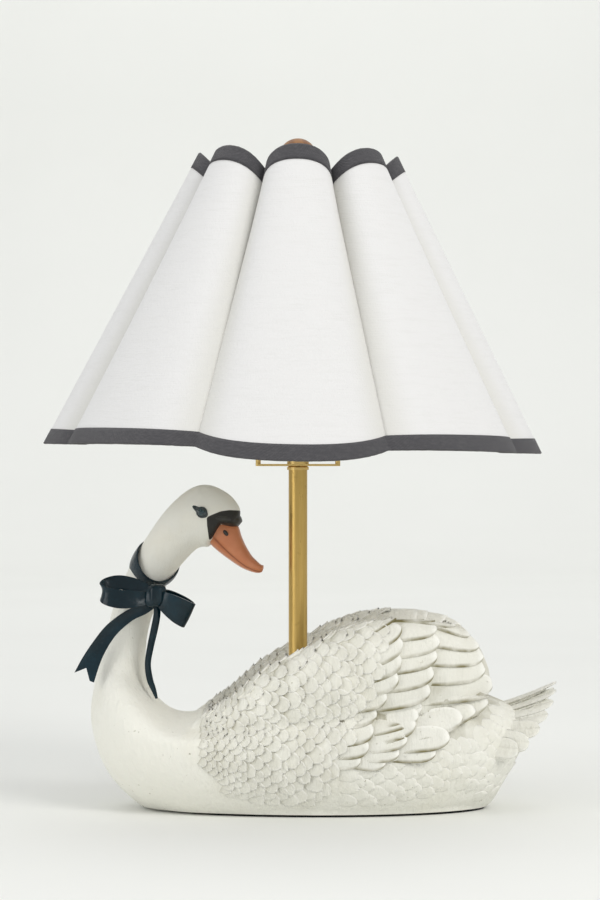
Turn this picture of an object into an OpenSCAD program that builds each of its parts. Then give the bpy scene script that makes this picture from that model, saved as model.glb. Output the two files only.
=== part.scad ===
// Swan table lamp: a hollow cast swan carries a brass tube, a lamp holder with
// a harp, and a fabric shade with eight scallops. Millimetres, +Z up.
// The origin is on the axis of the tube, on the plane that the lamp stands on.
// The swan faces -X. The harp lies in the XZ plane.

/* [Swan] */
// Length of the swan's flat foot
foot_length = 262; // [250:1:270]
// Greatest width of the body at the flanks
body_width = 166; // [150:1:170]
// Height of the top of the head
head_height = 252; // [248:1:254]
// Wall of the casting
casting_wall = 7; // [5:0.5:9]
// Facets round each cast section
cast_facets = 28; // [20:2:36]

/* [Base] */
// Thickness of the felt under the foot
felt_thick = 2; // [1:0.5:3]
// Thickness of the plate that closes the casting
plate_thick = 7; // [6:0.5:8]

/* [Stem] */
// Outer diameter of the brass tube
tube_d = 14.6; // [13:0.1:16]
// Height of the top of the tube
tube_top = 263; // [258:1:268]
// Diameter of the threaded rod
rod_d = 9.6; // [9:0.1:10]

/* [Harp] */
// Distance between the two legs of the harp at their feet
harp_foot_gap = 62; // [58:1:66]
// Greatest width of the harp
harp_width = 104; // [90:1:116]
// Height of the plate at the top of the harp
harp_top = 486; // [480:1:490]
// Diameter of the harp's wire
harp_wire_d = 4; // [3.5:0.1:4.2]

/* [Shade] */
// Number of scallops
scallops = 8; // [8:1:8]
// Radius of the lower hem at the middle of a scallop
hem_radius = 193; // [185:1:200]
// Radius of the upper edge at the middle of a scallop
top_radius = 77.5; // [74:0.5:82]
// Height of the lower hem where two scallops meet
hem_height = 280; // [276:1:286]
// Height of the upper edge at the middle of a scallop
shade_top = 508; // [500:1:512]
// Lean of the shade to the side that the swan faces, in degrees
shade_lean = 1.15; // [0:0.05:1.5]
// Width of the binding tape
tape_width = 12.5; // [10:0.5:15]
// Thickness of the lined fabric
fabric_thick = 1; // [0.8:0.1:1.4]

/* [Finial] */
// Diameter of the wooden ball
ball_d = 30; // [26:1:32]

/* [Hidden] */
$fn = 64;

// Base levels
plate_bottom = felt_thick;
plate_top = plate_bottom + plate_thick;
foot_centre = 17;
foot_ratio = 0.45;
plate_a = foot_length / 2 - 14;
plate_b = foot_length * foot_ratio / 2 - 13;
plate_gap = 0.3;

// Cord inlet at the back of the foot, and the bushing in it
inlet = [95, 45, 20];
bushing_r = 6.2;
bushing_l = 20;
flange_r = 8.5;

// Ribbon round the neck
collar_w = 9;
collar_play = 0.2;

// Stem levels
rod_bottom = felt_thick + 0.4;
rod_top = tube_top + 14;
rod_hole_d = rod_d + 0.6;
seat_z = 100;
ring_h = 3;
saddle_z = tube_top + ring_h;
saddle_t = 1.6;
saddle_w = 12.7;
nut_h = 3;
washer_h = 1;

// Lamp holder levels, from the cap upward
cap_z = saddle_z + saddle_t;
cap_h = 18;
shell_z = cap_z + cap_h;
shell_r = 16.8;
shell_h = 44;
liner_r = shell_r - 0.9;
core_z = shell_z + 1;
core_h = 17;
core_r = 13;
switch_z = core_z + 9;
switch_shaft_r = 3;
screw_shell_z = core_z + core_h;
screw_shell_h = 24;
screw_shell_r = 14;
bulb_z = screw_shell_z + 2.6;
bulb_base_r = 13;
bulb_base_h = 24;
bulb_glass_r = 30;

// Harp levels
leg_x = harp_foot_gap / 2;
post_top = saddle_z + 17;
leg_z = post_top + 0.3;
leg_straight = 20;
sleeve_r = harp_wire_d / 2 + 1.5;
sleeve_h = 12;
sleeve_z = post_top - 5;
harp_plate_h = 2;
stud_d = 6.35;
hub_gap = 0.25;
hub_z = harp_top + harp_plate_h + hub_gap;
hub_h = 1.5;
hub_r = 9;
stud_top = hub_z + 16;

// Finial levels
finial_z = hub_z + hub_h + hub_gap;
insert_h = 3;

// Scallop outlines in the frame of one scallop, out along u and across along v:
// half of it, as a Bezier curve from its middle to the seam with the next one
half_sector = 180 / scallops;
lobe_steps = 9;
function polar(r, a) = [r * cos(a), r * sin(a)];
hem_curve = [
    [hem_radius, 0],
    [hem_radius, 0.2 * hem_radius],
    polar(0.995 * hem_radius, 17),
    polar(0.938 * hem_radius, half_sector)
];
top_curve = [
    [top_radius, 0],
    [top_radius, 0.168 * top_radius],
    polar(0.985 * top_radius, 19),
    polar(0.81 * top_radius, half_sector)
];
// Fall of the upper edge towards the seams, per millimetre inwards
top_edge_slope = 0.95;
// Drop of the lower hem at the middle of each scallop, from the front one on
hem_drops = [9, -1, 0, -1, 9, -1, 0, -1];
wire_r = 1.2;
wire_gap = 0.3;
tape_thick = 0.5;
tape_gap = 0.06;

CREAM = [0.93, 0.925, 0.87];
NAVY = [0.10, 0.18, 0.26];
BRASS = [0.74, 0.58, 0.30];
STEEL = [0.62, 0.62, 0.62];
LINEN = [0.95, 0.945, 0.94];
CHARCOAL = [0.28, 0.28, 0.29];
BLACK = [0.05, 0.05, 0.05];
WOOD = [0.55, 0.32, 0.15];

// ---------------------------------------------------------------- functions

function mix(a, b, t) = a * (1 - t) + b * t;

function bezier(p, t) =
    pow(1 - t, 3) * p[0] + 3 * pow(1 - t, 2) * t * p[1]
    + 3 * (1 - t) * t * t * p[2] + pow(t, 3) * p[3];

// Half of a scallop's outline, from its middle to the seam
function half_lobe(curve) = [for (i = [0 : lobe_steps]) bezier(curve, i / lobe_steps)];

// Whole outline of one scallop, seam to seam
function whole_lobe(curve) =
    let (h = half_lobe(curve), n = len(h) - 1)
    concat(
        [for (i = [n : -1 : 1]) [h[i][0], -h[i][1]]],
        h
    );

function turn2(p, a) = [
    p[0] * cos(a) - p[1] * sin(a),
    p[0] * sin(a) + p[1] * cos(a)
];

// The front scallop, which faces -Y, is scallop 0
function lobe_angle(i) = -90 + i * 360 / scallops;

// A point of the shade leant over about the hub that it hangs from
function leant(p) = [
    p[0] * cos(shade_lean) + (p[2] - hub_z) * sin(shade_lean),
    p[1],
    hub_z + (p[2] - hub_z) * cos(shade_lean) - p[0] * sin(shade_lean)
];

// Height of the two edges at a point u millimetres out on scallop i
function top_edge_z(u) = shade_top - top_edge_slope * (top_radius - u);
function hem_z(u, i) =
    let (fall = (u - hem_curve[3][0]) / (hem_radius - hem_curve[3][0]))
    hem_height - hem_drops[i] * max(0, fall);

// Points of one closed loop round the shade, with each seam once. Level 0 is
// the upper edge and level 1 is the lower hem.
lobe_points = 2 * lobe_steps;
function shade_loop(level) =
    let (t = whole_lobe(top_curve), b = whole_lobe(hem_curve))
    [for (i = [0 : scallops - 1]) for (j = [0 : lobe_points - 1])
        let (
            p = turn2(mix(t[j], b[j], level), lobe_angle(i)),
            z = mix(top_edge_z(t[j][0]), hem_z(b[j][0], i), level)
        )
        leant([p[0], p[1], z])
    ];

// A loop moved inwards, square to its own run
function inset(loop, d) =
    let (n = len(loop))
    [for (i = [0 : n - 1])
        let (
            a = loop[(i + n - 1) % n],
            b = loop[(i + 1) % n],
            run = [b[0] - a[0], b[1] - a[1]],
            out = [run[1], -run[0]] / norm(run)
        )
        [loop[i][0] - d * out[0], loop[i][1] - d * out[1], loop[i][2]]
    ];

// Share of the slant height that a width of tape takes
tape_share = tape_width / norm([
    hem_radius - top_radius,
    shade_top - hem_height
]);
top_wire_level = 0.06;
hem_wire_level = 0.97;

// ------------------------------------------------------------------ shapes

// A solid through rings of equal length, open ended or closed on itself
module skin(rings, closed = false) {
    n = len(rings[0]);
    rows = len(rings);
    last = closed ? rows : rows - 1;
    polyhedron(
        points = [for (r = rings) for (p = r) p],
        faces = concat(
            [for (i = [0 : last - 1]) for (j = [0 : n - 1])
                let (a = i * n, b = ((i + 1) % rows) * n, k = (j + 1) % n)
                [a + j, a + k, b + k]],
            [for (i = [0 : last - 1]) for (j = [0 : n - 1])
                let (a = i * n, b = ((i + 1) % rows) * n, k = (j + 1) % n)
                [a + j, b + k, b + j]],
            closed ? [] : [[for (j = [n - 1 : -1 : 0]) j]],
            closed ? [] : [[for (j = [0 : n - 1]) (rows - 1) * n + j]]
        ),
        convexity = 8
    );
}

// Cast form through stations [x, z, travel angle, up, down, side]
module cast_form(stations, facets = cast_facets) {
    skin([for (s = stations)
        [for (j = [0 : facets - 1])
            let (
                a = 360 * j / facets,
                h = sin(a) > 0 ? s[3] * sin(a) : s[4] * sin(a)
            )
            [s[0] - h * sin(s[2]), -s[5] * cos(a), s[1] + h * cos(s[2])]
        ]
    ]);
}

// Round bar along a closed or open line that stays close to level
module level_bar(line, r, sides = 6) {
    n = len(line);
    skin([for (i = [0 : n - 1])
        let (
            a = line[(i + n - 1) % n],
            b = line[(i + 1) % n],
            run = [b[0] - a[0], b[1] - a[1]],
            out = [run[1], -run[0]] / norm(run)
        )
        [for (k = [0 : sides - 1])
            let (c = r * cos(360 * k / sides), s = r * sin(360 * k / sides))
            [line[i][0] + c * out[0], line[i][1] + c * out[1], line[i][2] + s]
        ]
    ], closed = true);
}

module bead(at, size) {
    translate(at) scale(size) sphere(r = 1, $fn = 20);
}

// Chain of rounded links through [x, y, z] points
module chain(points, sizes) {
    for (i = [0 : len(points) - 2]) {
        hull() {
            bead(points[i], sizes[i]);
            bead(points[i + 1], sizes[i + 1]);
        }
    }
}

// Round bar between two points
module rod_between(p, q, r) {
    run = q - p;
    translate(p)
        rotate([0, acos(run[2] / norm(run)), atan2(run[1], run[0])])
        cylinder(r = r, h = norm(run));
}

module tube_between(outer_r, inner_r, h) {
    difference() {
        cylinder(r = outer_r, h = h);
        translate([0, 0, -1]) cylinder(r = inner_r, h = h + 2);
    }
}

// -------------------------------------------------------------------- swan

// Trunk of the swan, grown or shrunk by d
module trunk(d = 0) {
    w = body_width / 166;
    stations = [
        [-160, 74, 15, 15, 12], [-154, 73, 30, 33, 28], [-145, 70, 46, 46, 42],
        [-132, 64, 46, 54, 54], [-118, 60, 34, 60, 62], [-100, 58, 18, 64, 69],
        [-80, 56, 18, 68, 74], [-50, 56, 30, 72, 79], [-20, 56, 44, 74, 82],
        [20, 56, 52, 75, 83], [60, 56, 55, 74, 81], [95, 57, 50, 70, 74],
        [125, 58, 40, 64, 61], [148, 60, 28, 58, 45], [162, 62, 20, 38, 31],
        [172, 64, 13, 22, 19]
    ];
    cast_form([for (s = stations)
        [s[0] * (1 + d / 165), s[1], 0, s[2] + d, s[3] + d, s[4] * w + d]
    ]);
}

module neck_and_head() {
    cast_form([
        [-130, 60, 100, 30, 30, 40], [-138, 92, 97, 21, 21, 24],
        [-136, 119, 83, 17, 17, 17.5], [-129.5, 150, 72, 15.8, 15.8, 15.5],
        [-118, 178, 62, 16.2, 16.2, 15.2], [-103.5, 201, 52, 17.5, 17.5, 16],
        [-88, 218, 34, 21, 19, 18.5], [-73, head_height - 26, 8, 25.6, 23.5, 20.5],
        [-58, 225, -16, 21, 20, 18.5], [-48, 219, -30, 12, 14, 13]
    ], 24);
}

// Bill with the black knob over its root
module bill() {
    cast_form([
        [-63, 218, -48, 12, 12, 12], [-55, 210, -48, 13.5, 13, 12.5],
        [-48, 198.5, -49, 9.6, 9.6, 11.5], [-39, 190.3, -45, 6.4, 6.8, 10.5],
        [-32, 185.2, -38, 3.6, 3.6, 7.5], [-28.5, 183.6, -30, 1.6, 1.6, 3]
    ], 16);
    bead([-51.5, 0, 224.6], [7.4, 6.4, 7]);
}

// One folded wing on side s of the body, -1 near and 1 far
module wing(s) {
    // x, distance from the middle, height, half thickness, half height
    w = [
        [-80, 50, 61, 9, 11], [-56, 56, 65, 16, 23], [-26, 57, 75, 21, 38],
        [5, 57, 83, 24, 46], [36, 56, 92, 25, 57], [66, 54, 97, 24, 60],
        [96, 50, 98, 22, 56], [122, 44, 99, 18, 46], [139, 38, 102, 12, 31],
        [149, 34, 101, 5, 14]
    ];
    lean = 15;
    for (i = [0 : len(w) - 2]) {
        hull() {
            for (k = [i, i + 1]) {
                translate([w[k][0], s * w[k][1], w[k][2]])
                rotate([s * lean, 0, 0])
                scale([4, w[k][3], w[k][4]])
                sphere(r = 1, $fn = 20);
            }
        }
    }
}

// Fan of tail feathers, raised towards the tip
module tail() {
    feathers = 9;
    for (i = [0 : feathers - 1]) {
        t = i / (feathers - 1) * 2 - 1;
        hull() {
            bead([140, 26 * t, 66 + 12 * (1 - abs(t))], [16, 9, 10]);
            bead([186, 34 * t, 66 + 22 * (1 - abs(t))], [12, 7, 5]);
            bead([198 - 16 * t * t, 38 * t, 68 + 28 * (1 - abs(t))], [4, 4, 2.2]);
        }
    }
}

// Oval of the foot with half lengths a and b
module foot_outline(a, b) {
    sides = 96;
    polygon([for (i = [0 : sides - 1])
        [foot_centre + a * cos(360 * i / sides), b * sin(360 * i / sides)]
    ]);
}

module swan_cavity() {
    difference() {
        trunk(-casting_wall);
        translate([0, 0, seat_z - 12]) cylinder(r = 18, h = 60, $fn = 32);
        translate([-200, -100, -100]) cube([75, 200, 400]);
        translate([148, -100, -100]) cube([75, 200, 400]);
    }
}

module swan_body() {
    color(CREAM) union() {
        difference() {
            union() {
                trunk();
                neck_and_head();
                bill();
                wing(-1);
                wing(1);
                tail();
            }
            swan_cavity();
            translate([-300, -300, -200]) cube([600, 600, 200 + plate_bottom]);
            translate([0, 0, plate_bottom - 1])
                linear_extrude(plate_thick + 1)
                foot_outline(plate_a + plate_gap, plate_b + plate_gap);
            translate([0, 0, seat_z]) cylinder(d = tube_d + 0.4, h = 80, $fn = 48);
            translate([0, 0, 50]) cylinder(d = rod_hole_d, h = 80, $fn = 32);
            translate(inlet) rotate([-90, 0, 0]) {
                translate([0, 0, -25]) cylinder(r = bushing_r + 0.2, h = 60, $fn = 32);
                translate([0, 0, bushing_l - 0.2]) cylinder(r = flange_r + 0.3, h = 30, $fn = 32);
            }
            ribbon_ring(collar_play);
        }
    }
}

// -------------------------------------------------------------- base parts

module base_plate() {
    color(WOOD) difference() {
        translate([0, 0, plate_bottom])
            linear_extrude(plate_thick)
            foot_outline(plate_a, plate_b);
        translate([0, 0, plate_bottom - 1]) cylinder(d = rod_hole_d, h = plate_thick + 2);
        translate([0, 0, plate_bottom - 1]) cylinder(r = 12, h = 1 + nut_h + washer_h);
    }
}

module felt_pad() {
    color(BLACK) linear_extrude(felt_thick)
        foot_outline(foot_length / 2 - 3, foot_length * foot_ratio / 2 - 3);
}

module rod_nut() {
    color(STEEL) difference() {
        translate([0, 0, plate_bottom]) cylinder(r = 8.6, h = nut_h, $fn = 6);
        translate([0, 0, plate_bottom - 1]) cylinder(d = rod_d + 0.1, h = nut_h + 2);
    }
}

module rod_washer() {
    color(STEEL) translate([0, 0, plate_bottom + nut_h])
        tube_between(10, rod_hole_d / 2, washer_h);
}

// Flanged bushing that lines the cord's way out at the back of the foot
module cord_bushing() {
    color(BLACK) translate(inlet) rotate([-90, 0, 0]) difference() {
        union() {
            cylinder(r = bushing_r, h = bushing_l);
            translate([0, 0, bushing_l]) cylinder(r = flange_r, h = 2.5);
        }
        translate([0, 0, -1]) cylinder(r = 3.5, h = bushing_l + 10);
    }
}

// --------------------------------------------------------------- stem parts

module threaded_rod() {
    color(STEEL) translate([0, 0, rod_bottom]) difference() {
        cylinder(d = rod_d, h = rod_top - rod_bottom);
        translate([0, 0, -1]) cylinder(d = rod_d - 3.6, h = rod_top);
    }
}

module brass_tube() {
    color(BRASS) translate([0, 0, seat_z])
        tube_between(tube_d / 2, tube_d / 2 - 1, tube_top - seat_z);
}

module check_ring() {
    color(BRASS) translate([0, 0, tube_top]) difference() {
        union() {
            cylinder(r = tube_d / 2 + 1.2, h = ring_h - 1);
            translate([0, 0, ring_h - 1]) cylinder(r1 = tube_d / 2 + 1.2, r2 = tube_d / 2, h = 1);
        }
        translate([0, 0, -1]) cylinder(d = rod_hole_d, h = ring_h + 2);
    }
}

// ---------------------------------------------------------------- the bow

// The ring of ribbon round the neck, or with play the groove that it lies in
module ribbon_ring(play = 0) {
    translate([-109, -1, 188])
        rotate([0, 33, 0]) rotate([42, 0, 0])
        translate([0, 0, -collar_w / 2 - play]) scale([1.02, 1.24, 1])
        tube_between(20.4 + play, 18.4 - play, collar_w + 2 * play);
}

module ribbon_collar() {
    color(NAVY) ribbon_ring();
}

module bow_knot() {
    color(NAVY) hull() {
        bead([-111, -29, 166], [6.5, 6, 8]);
        bead([-110, -27, 163], [6, 6, 8]);
    }
}

module bow_loop_left() {
    color(NAVY) hull() {
        bead([-119.5, -29, 167], [1.5, 4, 5]);
        bead([-132, -30, 168], [6, 7.5, 11]);
        bead([-146, -28, 166], [7, 7, 12]);
    }
}

module bow_loop_right() {
    color(NAVY) hull() {
        bead([-102.5, -29, 163], [1.5, 4, 5]);
        bead([-95, -30, 158], [5, 7, 12]);
        bead([-87.5, -28, 153], [6, 6.5, 12]);
    }
}

module ribbon_tail_left() {
    color(NAVY) chain(
        [[-118, -27, 152], [-134, -27, 148], [-150, -27, 133], [-160, -28, 114], [-166, -28, 102]],
        [[4, 1.5, 3], [5, 1.5, 3.5], [6, 1.5, 5], [7, 1.5, 6], [8, 1.5, 7]]
    );
}

module ribbon_tail_right() {
    color(NAVY) chain(
        [[-110.5, -26, 150], [-114, -23, 130], [-116, -22, 112], [-112.5, -23, 96]],
        [[2.2, 1.5, 3], [2.6, 1.5, 4], [3.4, 1.5, 4], [2.6, 1.5, 4.5]]
    );
}

// ---------------------------------------------------------------- the harp

module harp_saddle() {
    color(BRASS) difference() {
        union() {
            translate([-leg_x, -saddle_w / 2, saddle_z]) cube([2 * leg_x, saddle_w, saddle_t]);
            for (s = [-1, 1]) {
                translate([s * leg_x, 0, saddle_z]) cylinder(d = harp_wire_d, h = post_top - saddle_z);
            }
        }
        translate([0, 0, saddle_z - 1]) cylinder(d = rod_hole_d, h = saddle_t + 2);
    }
}

// The bent wire: two straight legs and an oval bow
module harp_wire() {
    top_z = harp_top - harp_wire_d / 2;
    low_z = leg_z + leg_straight;
    mid_z = low_z + 0.42 * (top_z - low_z);
    steps = 14;
    side = concat(
        [[leg_x, leg_z], [leg_x, low_z]],
        [for (i = [1 : 5])
            let (t = i / 5, e = t * t * (3 - 2 * t))
            [mix(leg_x, harp_width / 2, e), mix(low_z, mid_z, t)]],
        [for (i = [1 : steps])
            let (a = 90 * i / steps)
            [harp_width / 2 * cos(a), mid_z + (top_z - mid_z) * sin(a)]]
    );
    line = concat(
        [for (p = side) p],
        [for (i = [len(side) - 2 : -1 : 0]) [-side[i][0], side[i][1]]]
    );
    color(BRASS) for (i = [0 : len(line) - 2]) {
        hull() {
            for (k = [i, i + 1]) {
                if (abs(abs(line[k][0]) - leg_x) < 0.01) {
                    translate([line[k][0], 0, line[k][1]])
                        cylinder(d = harp_wire_d, h = 0.01, $fn = 16);
                } else {
                    translate([line[k][0], 0, line[k][1]]) sphere(d = harp_wire_d, $fn = 12);
                }
            }
        }
    }
}

module harp_top_plate() {
    color(BRASS) translate([0, 0, harp_top]) cylinder(r = 8, h = harp_plate_h);
}

module harp_stud() {
    color(BRASS) translate([0, 0, harp_top + harp_plate_h])
        cylinder(d = stud_d, h = stud_top - harp_top - harp_plate_h);
}

module harp_sleeve(s) {
    color(BRASS) translate([s * leg_x, 0, sleeve_z])
        tube_between(sleeve_r, harp_wire_d / 2 + 0.08, sleeve_h);
}

// ---------------------------------------------------------- the lamp holder

module socket_cap() {
    wall = 1;
    color(BRASS) translate([0, 0, cap_z]) rotate_extrude() polygon([
        [rod_d / 2 + 0.05, 0], [8.5, 0], [8.5, 3], [13, 6.5], [shell_r - 0.8, 11],
        [shell_r, 13], [shell_r, cap_h], [shell_r - wall, cap_h],
        [shell_r - wall, 13.5], [12, 7.8], [7.4, 4.5], [7.4, 9],
        [rod_d / 2 + 0.05, 9]
    ]);
}

module socket_shell() {
    color(BRASS) difference() {
        translate([0, 0, shell_z]) tube_between(shell_r, shell_r - 0.7, shell_h);
        translate([0, 0, switch_z]) rotate([-90, 0, 0]) cylinder(r = switch_shaft_r + 0.5, h = 30);
    }
}

module socket_liner() {
    color([0.35, 0.3, 0.22]) difference() {
        translate([0, 0, shell_z + 0.5]) tube_between(liner_r, liner_r - 0.7, shell_h - 2);
        translate([0, 0, switch_z]) rotate([-90, 0, 0]) cylinder(r = switch_shaft_r + 0.5, h = 30);
    }
}

module socket_core() {
    color(BLACK) difference() {
        translate([0, 0, core_z]) cylinder(r = core_r, h = core_h);
        translate([0, 0, switch_z]) rotate([-90, 0, 0]) cylinder(r = switch_shaft_r + 0.05, h = 30);
        translate([0, 0, core_z - 1]) cylinder(r = 5.2, h = 4.5);
        for (s = [-1, 1]) {
            translate([s * core_r, 0, switch_z]) cube([4.4, 9, 9], center = true);
        }
    }
}

module screw_shell() {
    color(STEEL) translate([0, 0, screw_shell_z]) difference() {
        cylinder(r = screw_shell_r, h = screw_shell_h);
        translate([0, 0, 1]) cylinder(r = screw_shell_r - 0.6, h = screw_shell_h);
        translate([0, 0, -1]) cylinder(r = 7, h = 4);
    }
}

module centre_contact() {
    color(BRASS) translate([0, 0, screw_shell_z]) union() {
        cylinder(r = 4, h = 1.2);
        cylinder(r = 2, h = 2);
    }
}

module terminal_screws() {
    color(BRASS) for (s = [-1, 1]) {
        translate([s * (core_r - 2.2), 0, switch_z]) rotate([0, s * 90, 0])
            cylinder(r = 3.2, h = 2);
    }
}

module switch_shaft() {
    color(BRASS) translate([0, 4, switch_z]) rotate([-90, 0, 0])
        cylinder(r = switch_shaft_r, h = 26);
}

module switch_knob() {
    color(BLACK) translate([0, 22, switch_z]) rotate([-90, 0, 0]) difference() {
        union() {
            cylinder(r = 5.5, h = 12);
            for (i = [0 : 7]) {
                rotate([0, 0, 45 * i]) translate([5.2, 0, 0]) cylinder(r = 0.9, h = 12);
            }
        }
        translate([0, 0, -1]) cylinder(r = switch_shaft_r, h = 9);
    }
}

// ----------------------------------------------------------------- the bulb

module bulb_base() {
    color(STEEL) translate([0, 0, bulb_z]) difference() {
        union() {
            cylinder(r1 = 6, r2 = bulb_base_r, h = 4);
            translate([0, 0, 4]) cylinder(r = bulb_base_r, h = bulb_base_h - 4);
        }
        translate([0, 0, 2]) cylinder(r = 5, h = bulb_base_h);
        translate([0, 0, 6]) cylinder(r = bulb_base_r - 0.8, h = bulb_base_h);
    }
}

module bulb_contact() {
    color(BRASS) translate([0, 0, bulb_z - 0.4]) cylinder(r = 3.5, h = 0.4);
}

module bulb_glass() {
    wall = 0.9;
    neck_z = bulb_z + 8;
    ball_z = bulb_z + 76;
    neck_r = bulb_base_r - 1;
    flank = 36;
    outer = concat(
        [[neck_r, neck_z], [neck_r, neck_z + 17]],
        [for (i = [0 : 20])
            let (a = -flank + (90 + flank) * i / 20)
            [bulb_glass_r * cos(a), ball_z + bulb_glass_r * sin(a)]]
    );
    inner = concat(
        [for (i = [20 : -1 : 0])
            let (a = -flank + (90 + flank) * i / 20, r = bulb_glass_r - wall)
            [r * cos(a), ball_z + r * sin(a)]],
        [[neck_r - wall, neck_z + 17], [neck_r - wall, neck_z]]
    );
    color([1, 1, 1, 0.6]) rotate_extrude() polygon(concat(outer, inner));
}

// ---------------------------------------------------------------- the shade

module spider_hub() {
    color(BRASS) translate([0, 0, hub_z]) tube_between(hub_r, 3.7, hub_h);
}

// Four arms that fall from the hub to the upper wire at every second seam
module spider_arms() {
    wire = inset(shade_loop(top_wire_level), fabric_thick + 2 * wire_r + 2 * wire_gap);
    start_r = hub_r + 0.2;
    color(BRASS) for (i = [0 : 2 * lobe_points : len(wire) - 1]) {
        seam = wire[i];
        out = [seam[0], seam[1]] / norm([seam[0], seam[1]]);
        rod_between([start_r * out[0], start_r * out[1], hub_z + hub_h / 2], seam, 1.3);
    }
}

// Wire that follows an edge of the shade just inside the fabric
module edge_wire(level) {
    color(STEEL) level_bar(inset(shade_loop(level), fabric_thick + wire_r + wire_gap), wire_r, 5);
}

// Straight wires up the seams, between the two edge wires
module shade_ribs() {
    rib_r = 1;
    a = inset(shade_loop(top_wire_level + 0.03), fabric_thick + rib_r + wire_gap);
    b = inset(shade_loop(hem_wire_level - 0.03), fabric_thick + rib_r + wire_gap);
    color(STEEL) for (i = [0 : lobe_points : len(a) - 1]) rod_between(a[i], b[i], rib_r);
}

// Fabric wall of one scallop, seam to seam
module shade_panel(i) {
    levels = [0, tape_share, 0.35, 0.65, 1 - tape_share, 1];
    outer = [for (l = levels) shade_loop(l)];
    inner = [for (o = outer) inset(o, fabric_thick)];
    total = scallops * lobe_points;
    color(LINEN) skin([for (j = [0 : lobe_points])
        let (k = (i * lobe_points + j) % total)
        concat(
            [for (r = [0 : len(levels) - 1]) outer[r][k]],
            [for (r = [len(levels) - 1 : -1 : 0]) inner[r][k]]
        )
    ]);
}

// Binding tape sewn to the outside of a whole edge
module edge_tape(from_level, to_level) {
    upper = shade_loop(from_level);
    lower = shade_loop(to_level);
    outer_upper = inset(upper, -tape_thick);
    outer_lower = inset(lower, -tape_thick);
    inner_upper = inset(upper, -tape_gap);
    inner_lower = inset(lower, -tape_gap);
    color(CHARCOAL) skin([for (i = [0 : len(upper) - 1])
        [outer_upper[i], outer_lower[i], inner_lower[i], inner_upper[i]]
    ], closed = true);
}

// --------------------------------------------------------------- the finial

module finial_insert() {
    color(BRASS) translate([0, 0, finial_z]) tube_between(5.5, stud_d / 2 + 0.05, insert_h + 9);
}

module finial_ball() {
    r = ball_d / 2;
    centre_z = finial_z + 1.5 + r;
    color(WOOD) difference() {
        translate([0, 0, centre_z]) sphere(r = r);
        translate([0, 0, finial_z - 2]) cylinder(r = 20, h = 2 + insert_h);
        translate([0, 0, finial_z]) cylinder(r = 5.5, h = insert_h + 9);
        translate([0, 0, finial_z]) cylinder(r = stud_d / 2 + 0.4, h = stud_top - finial_z + 1);
    }
}

swan_body();
base_plate();
felt_pad();
cord_bushing();
threaded_rod();
rod_washer();
rod_nut();
brass_tube();
check_ring();
ribbon_collar();
bow_knot();
bow_loop_left();
bow_loop_right();
ribbon_tail_left();
ribbon_tail_right();
harp_saddle();
harp_wire();
harp_top_plate();
harp_stud();
harp_sleeve(-1);  // harp_sleeve_left
harp_sleeve(1);  // harp_sleeve_right
socket_cap();
socket_shell();
socket_liner();
socket_core();
screw_shell();
centre_contact();
terminal_screws();
switch_shaft();
switch_knob();
bulb_glass();
bulb_base();
bulb_contact();
spider_hub();
spider_arms();
edge_wire(top_wire_level);  // top_wire
edge_wire(hem_wire_level);  // hem_wire
shade_ribs();
shade_panel(0);  // shade_panel_1
shade_panel(1);  // shade_panel_2
shade_panel(2);  // shade_panel_3
shade_panel(3);  // shade_panel_4
shade_panel(4);  // shade_panel_5
shade_panel(5);  // shade_panel_6
shade_panel(6);  // shade_panel_7
shade_panel(7);  // shade_panel_8
edge_tape(0, tape_share);  // top_tape
edge_tape(1 - tape_share, 1);  // hem_tape
finial_insert();
finial_ball();
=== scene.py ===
"""Looks of the swan table lamp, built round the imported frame. Metres, in the part's own frame.

The swan faces -X, its near side is -Y, and the tube of the lamp stands on the Z axis.
Tables of shapes are in millimetres and are scaled by MM.
"""

import math
import random

import bmesh
import bpy
import numpy as np
from mathutils import Matrix, Vector
from mathutils.bvhtree import BVHTree


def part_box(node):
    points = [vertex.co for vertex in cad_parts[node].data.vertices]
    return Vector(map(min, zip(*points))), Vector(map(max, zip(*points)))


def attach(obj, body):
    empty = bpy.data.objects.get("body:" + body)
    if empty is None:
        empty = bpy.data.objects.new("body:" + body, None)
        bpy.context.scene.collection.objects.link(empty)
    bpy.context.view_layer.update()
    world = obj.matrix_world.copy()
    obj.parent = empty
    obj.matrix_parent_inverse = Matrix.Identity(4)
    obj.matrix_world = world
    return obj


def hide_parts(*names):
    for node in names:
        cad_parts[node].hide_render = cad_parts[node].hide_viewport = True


MM = 0.001
SEED = 7

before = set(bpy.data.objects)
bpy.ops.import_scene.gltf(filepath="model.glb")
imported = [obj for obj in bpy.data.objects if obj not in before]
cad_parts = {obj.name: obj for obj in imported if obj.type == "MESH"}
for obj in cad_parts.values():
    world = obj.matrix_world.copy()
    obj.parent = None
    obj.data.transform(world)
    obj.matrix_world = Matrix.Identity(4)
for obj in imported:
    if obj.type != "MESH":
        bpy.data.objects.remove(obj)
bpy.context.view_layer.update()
random.seed(SEED)
scene = bpy.context.scene


# ------------------------------------------------------------------ camera

CAMERA_DISTANCE = 2.013
CAMERA_HEIGHT = 0.2785
CAMERA_LENS = 103.24


def make_camera():
    """A level camera at half the lamp's height, looking at its near side."""
    data = bpy.data.cameras.new("camera")
    data.sensor_fit = "VERTICAL"
    data.sensor_height = 36
    data.lens = CAMERA_LENS
    camera = bpy.data.objects.new("camera", data)
    camera.location = (0.0016, -CAMERA_DISTANCE, CAMERA_HEIGHT)
    camera.rotation_euler = (math.radians(90), 0, 0)
    scene.collection.objects.link(camera)
    scene.camera = camera


make_camera()


# ------------------------------------------------------------ mesh helpers


def mix(a, b, t):
    return a + (b - a) * t


def smoothstep(low, high, x):
    t = np.clip((x - low) / (high - low), 0, 1)
    return t * t * (3 - 2 * t)


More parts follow.
